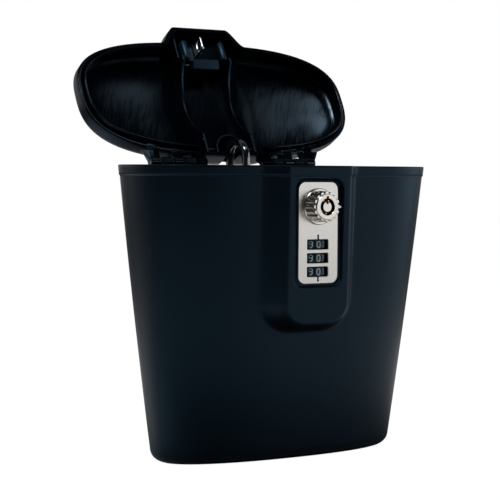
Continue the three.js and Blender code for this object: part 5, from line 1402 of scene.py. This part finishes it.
def cable_path():
    whole = 2 * COIL_STEPS_IN / COIL_STEPS
    arrival = [coil_lead(0, -CABLE_RADIUS * (2 + share) - JOINT_GAP) for share in (3, 1.4, 0)]
    coil = [coil_lead(0, -CABLE_RADIUS * share) for share in (2, 1)]
    coil += [coil_point(i / COIL_POINTS) for i in range(round(whole * COIL_POINTS) + 1)]
    tail = tail_points(coil_lead(whole, CABLE_RADIUS * 2))
    path = flowing([*cable_route(), *arrival], CABLE_SPACING)[:-1] + coil + flowing(tail, CABLE_SPACING)
    return [tuple(float(v) for v in p) for p in path]


def cable_tube(path):
    curve = bpy.data.curves.new("tether_line", "CURVE")
    curve.dimensions = "3D"
    curve.bevel_depth = CABLE_RADIUS * MM
    curve.bevel_resolution = 5
    curve.use_fill_caps = True
    spline = curve.splines.new("POLY")
    spline.points.add(len(path) - 1)
    for point, place in zip(spline.points, path):
        point.co = (*(Vector(place) * MM), 1)
    spline.use_smooth = True
    return settle(bpy.data.objects.new("tether_line", curve), "case", CABLE_JACKET,
                  ["tether_cable", "tether_coil", "tether_tail"])


def make_cable():
    path = cable_path()
    cable = cable_tube(path)
    for name in ("stop_ferrule", "eye_ferrule"):
        dress(name, FERRULE_METAL)
    dress("tether_eye", CABLE_JACKET)


def dress_hidden_nodes():
    """Pins, screws and the lock's inside show as the CAD has them."""
    for name in ("hinge_pin_left", "hinge_pin_right", "wheel_spindle", "detent_spring", "latch_cam",
                 "cam_washer", "cam_nut", "striker_screw_1", "striker_screw_2", "case_screw_1",
                 "case_screw_2", "case_screw_3", "case_screw_4"):
        dress(name, STEEL)
    dress("lock_case", INNER_PLASTIC)


# Studio
def make_world():
    """White wall behind the object that dims upwards, and a dark room; the camera sees only white."""
    world = bpy.data.worlds.new("studio")
    bpy.context.scene.world = world
    world.use_nodes = True
    tree = world.node_tree
    tree.nodes.clear()
    output = tree.nodes.new("ShaderNodeOutputWorld")
    way = split_node(tree, tree.nodes.new("ShaderNodeTexCoord").outputs["Generated"])
    behind = ramp_node(tree, way["Y"], WALL_STARTS, WALL_FULL, ROOM_LEVEL, WALL_LEVEL)
    dimmed = ramp_node(tree, way["Z"], WALL_LOW, WALL_HIGH, 1, WALL_TOP)
    rays = tree.nodes.new("ShaderNodeLightPath")
    light = tree.nodes.new("ShaderNodeBackground")
    light.inputs["Color"].default_value = (*WHITE, 1)
    wall = math_node(tree, "MULTIPLY", behind, dimmed)
    strength = math_node(tree, "MAXIMUM", rays.outputs["Is Camera Ray"], wall)
    tree.links.new(strength, light.inputs["Strength"])
    tree.links.new(light.outputs[0], output.inputs["Surface"])


def floor_sheen(tree):
    """What gloss sees of the floor: a bright ring round the object that also fills its left side."""
    place = object_place(tree)
    away = vector_node(tree, "LENGTH", place)
    way = split_node(tree, place)
    beside = math_node(tree, "MULTIPLY", ramp_node(tree, way["Y"], BESIDE_STARTS, BESIDE_FULL, 0, 1),
                       ramp_node(tree, way["X"], BESIDE_LEFT, BESIDE_RIGHT, FLOOR_SHEEN, 0))
    around = ramp_node(tree, away, SHEEN_STARTS, SHEEN_FULL, 0, FLOOR_SHEEN)
    fading = ramp_node(tree, away, SHEEN_FADES, SHEEN_ENDS, 1, 0)
    return math_node(tree, "MULTIPLY", math_node(tree, "MAXIMUM", beside, around), fading)


def floor_material():
    """White for the camera, with the object's shadow; its sheen shows only in gloss and glass."""
    grey = (FLOOR_GREY, FLOOR_GREY, FLOOR_GREY)
    material = new_material("studio_floor", grey, FLOOR_ROUGHNESS, specular=0)
    tree = material.node_tree
    shader = tree.nodes["Principled BSDF"]
    shader.inputs["Emission Color"].default_value = (*WHITE, 1)
    rays = tree.nodes.new("ShaderNodeLightPath").outputs
    mirrored = math_node(tree, "MAXIMUM", rays["Is Glossy Ray"], rays["Is Transmission Ray"])
    glow = math_node(tree, "MULTIPLY", rays["Is Camera Ray"], FLOOR_GLOW)
    sheen = math_node(tree, "MULTIPLY", mirrored, floor_sheen(tree))
    tree.links.new(math_node(tree, "ADD", glow, sheen), shader.inputs["Emission Strength"])
    return material


def make_floor():
    size = FLOOR_HALF
    mesh = bpy.data.meshes.new("floor")
    mesh.from_pydata([(-size, -size, 0), (size, -size, 0), (size, size, 0), (-size, size, 0)], [],
                     [(0, 1, 2, 3)])
    mesh.materials.append(floor_material())
    floor = bpy.data.objects.new("floor", mesh)
    bpy.context.scene.collection.objects.link(floor)


def softbox(name, place, target, width, height, level, color=WHITE):
    """Rectangular lamp that looks at its target; level is the brightness its face shows in a mirror."""
    data = bpy.data.lights.new(name, "AREA")
    data.shape = "RECTANGLE"
    data.size, data.size_y = width, height
    data.energy = level * math.pi * width * height
    data.color = color
    lamp = bpy.data.objects.new(name, data)
    bpy.context.scene.collection.objects.link(lamp)
    lamp.location = place
    lamp.rotation_euler = (Vector(target) - Vector(place)).to_track_quat("-Z", "Y").to_euler()


def make_lights():
    softbox("overhead_box", place=(-0.5, -0.48, 1.2), target=(0, 0.05, 0.2), width=0.5, height=0.3, level=10)
    softbox("haze_box", place=(0.4, -0.5, 1.2), target=(0, 0.05, 0.25), width=0.34, height=0.3, level=1.9,
            color=(0.85, 0.94, 1))
    softbox("front_right_box", place=(0.9, -1.25, 0.15), target=(0, -0.05, 0.15), width=0.8, height=0.75,
            level=1.46)
    softbox("right_box", place=(1.3, -0.35, 0.22), target=(0, 0, 0.08), width=0.6, height=0.8, level=2.6,
            color=(0.68, 0.86, 1))


make_camera()
make_cable()
make_case()
make_lid()
make_bead(-1, "lid_bead_left")
make_bead(1, "lid_bead_right")
make_insert()
make_hinges()
make_faceplate()
make_index_marks()
make_knob_grip()
make_pointer()
make_knob_shaft()
make_key_plug()
for wheel, height in enumerate(WHEEL_LEVELS, 1):
    make_wheel(wheel, height)
make_striker()
dress_hidden_nodes()
make_world()
make_floor()
make_lights()
bpy.context.scene.view_settings.view_transform = "Standard"
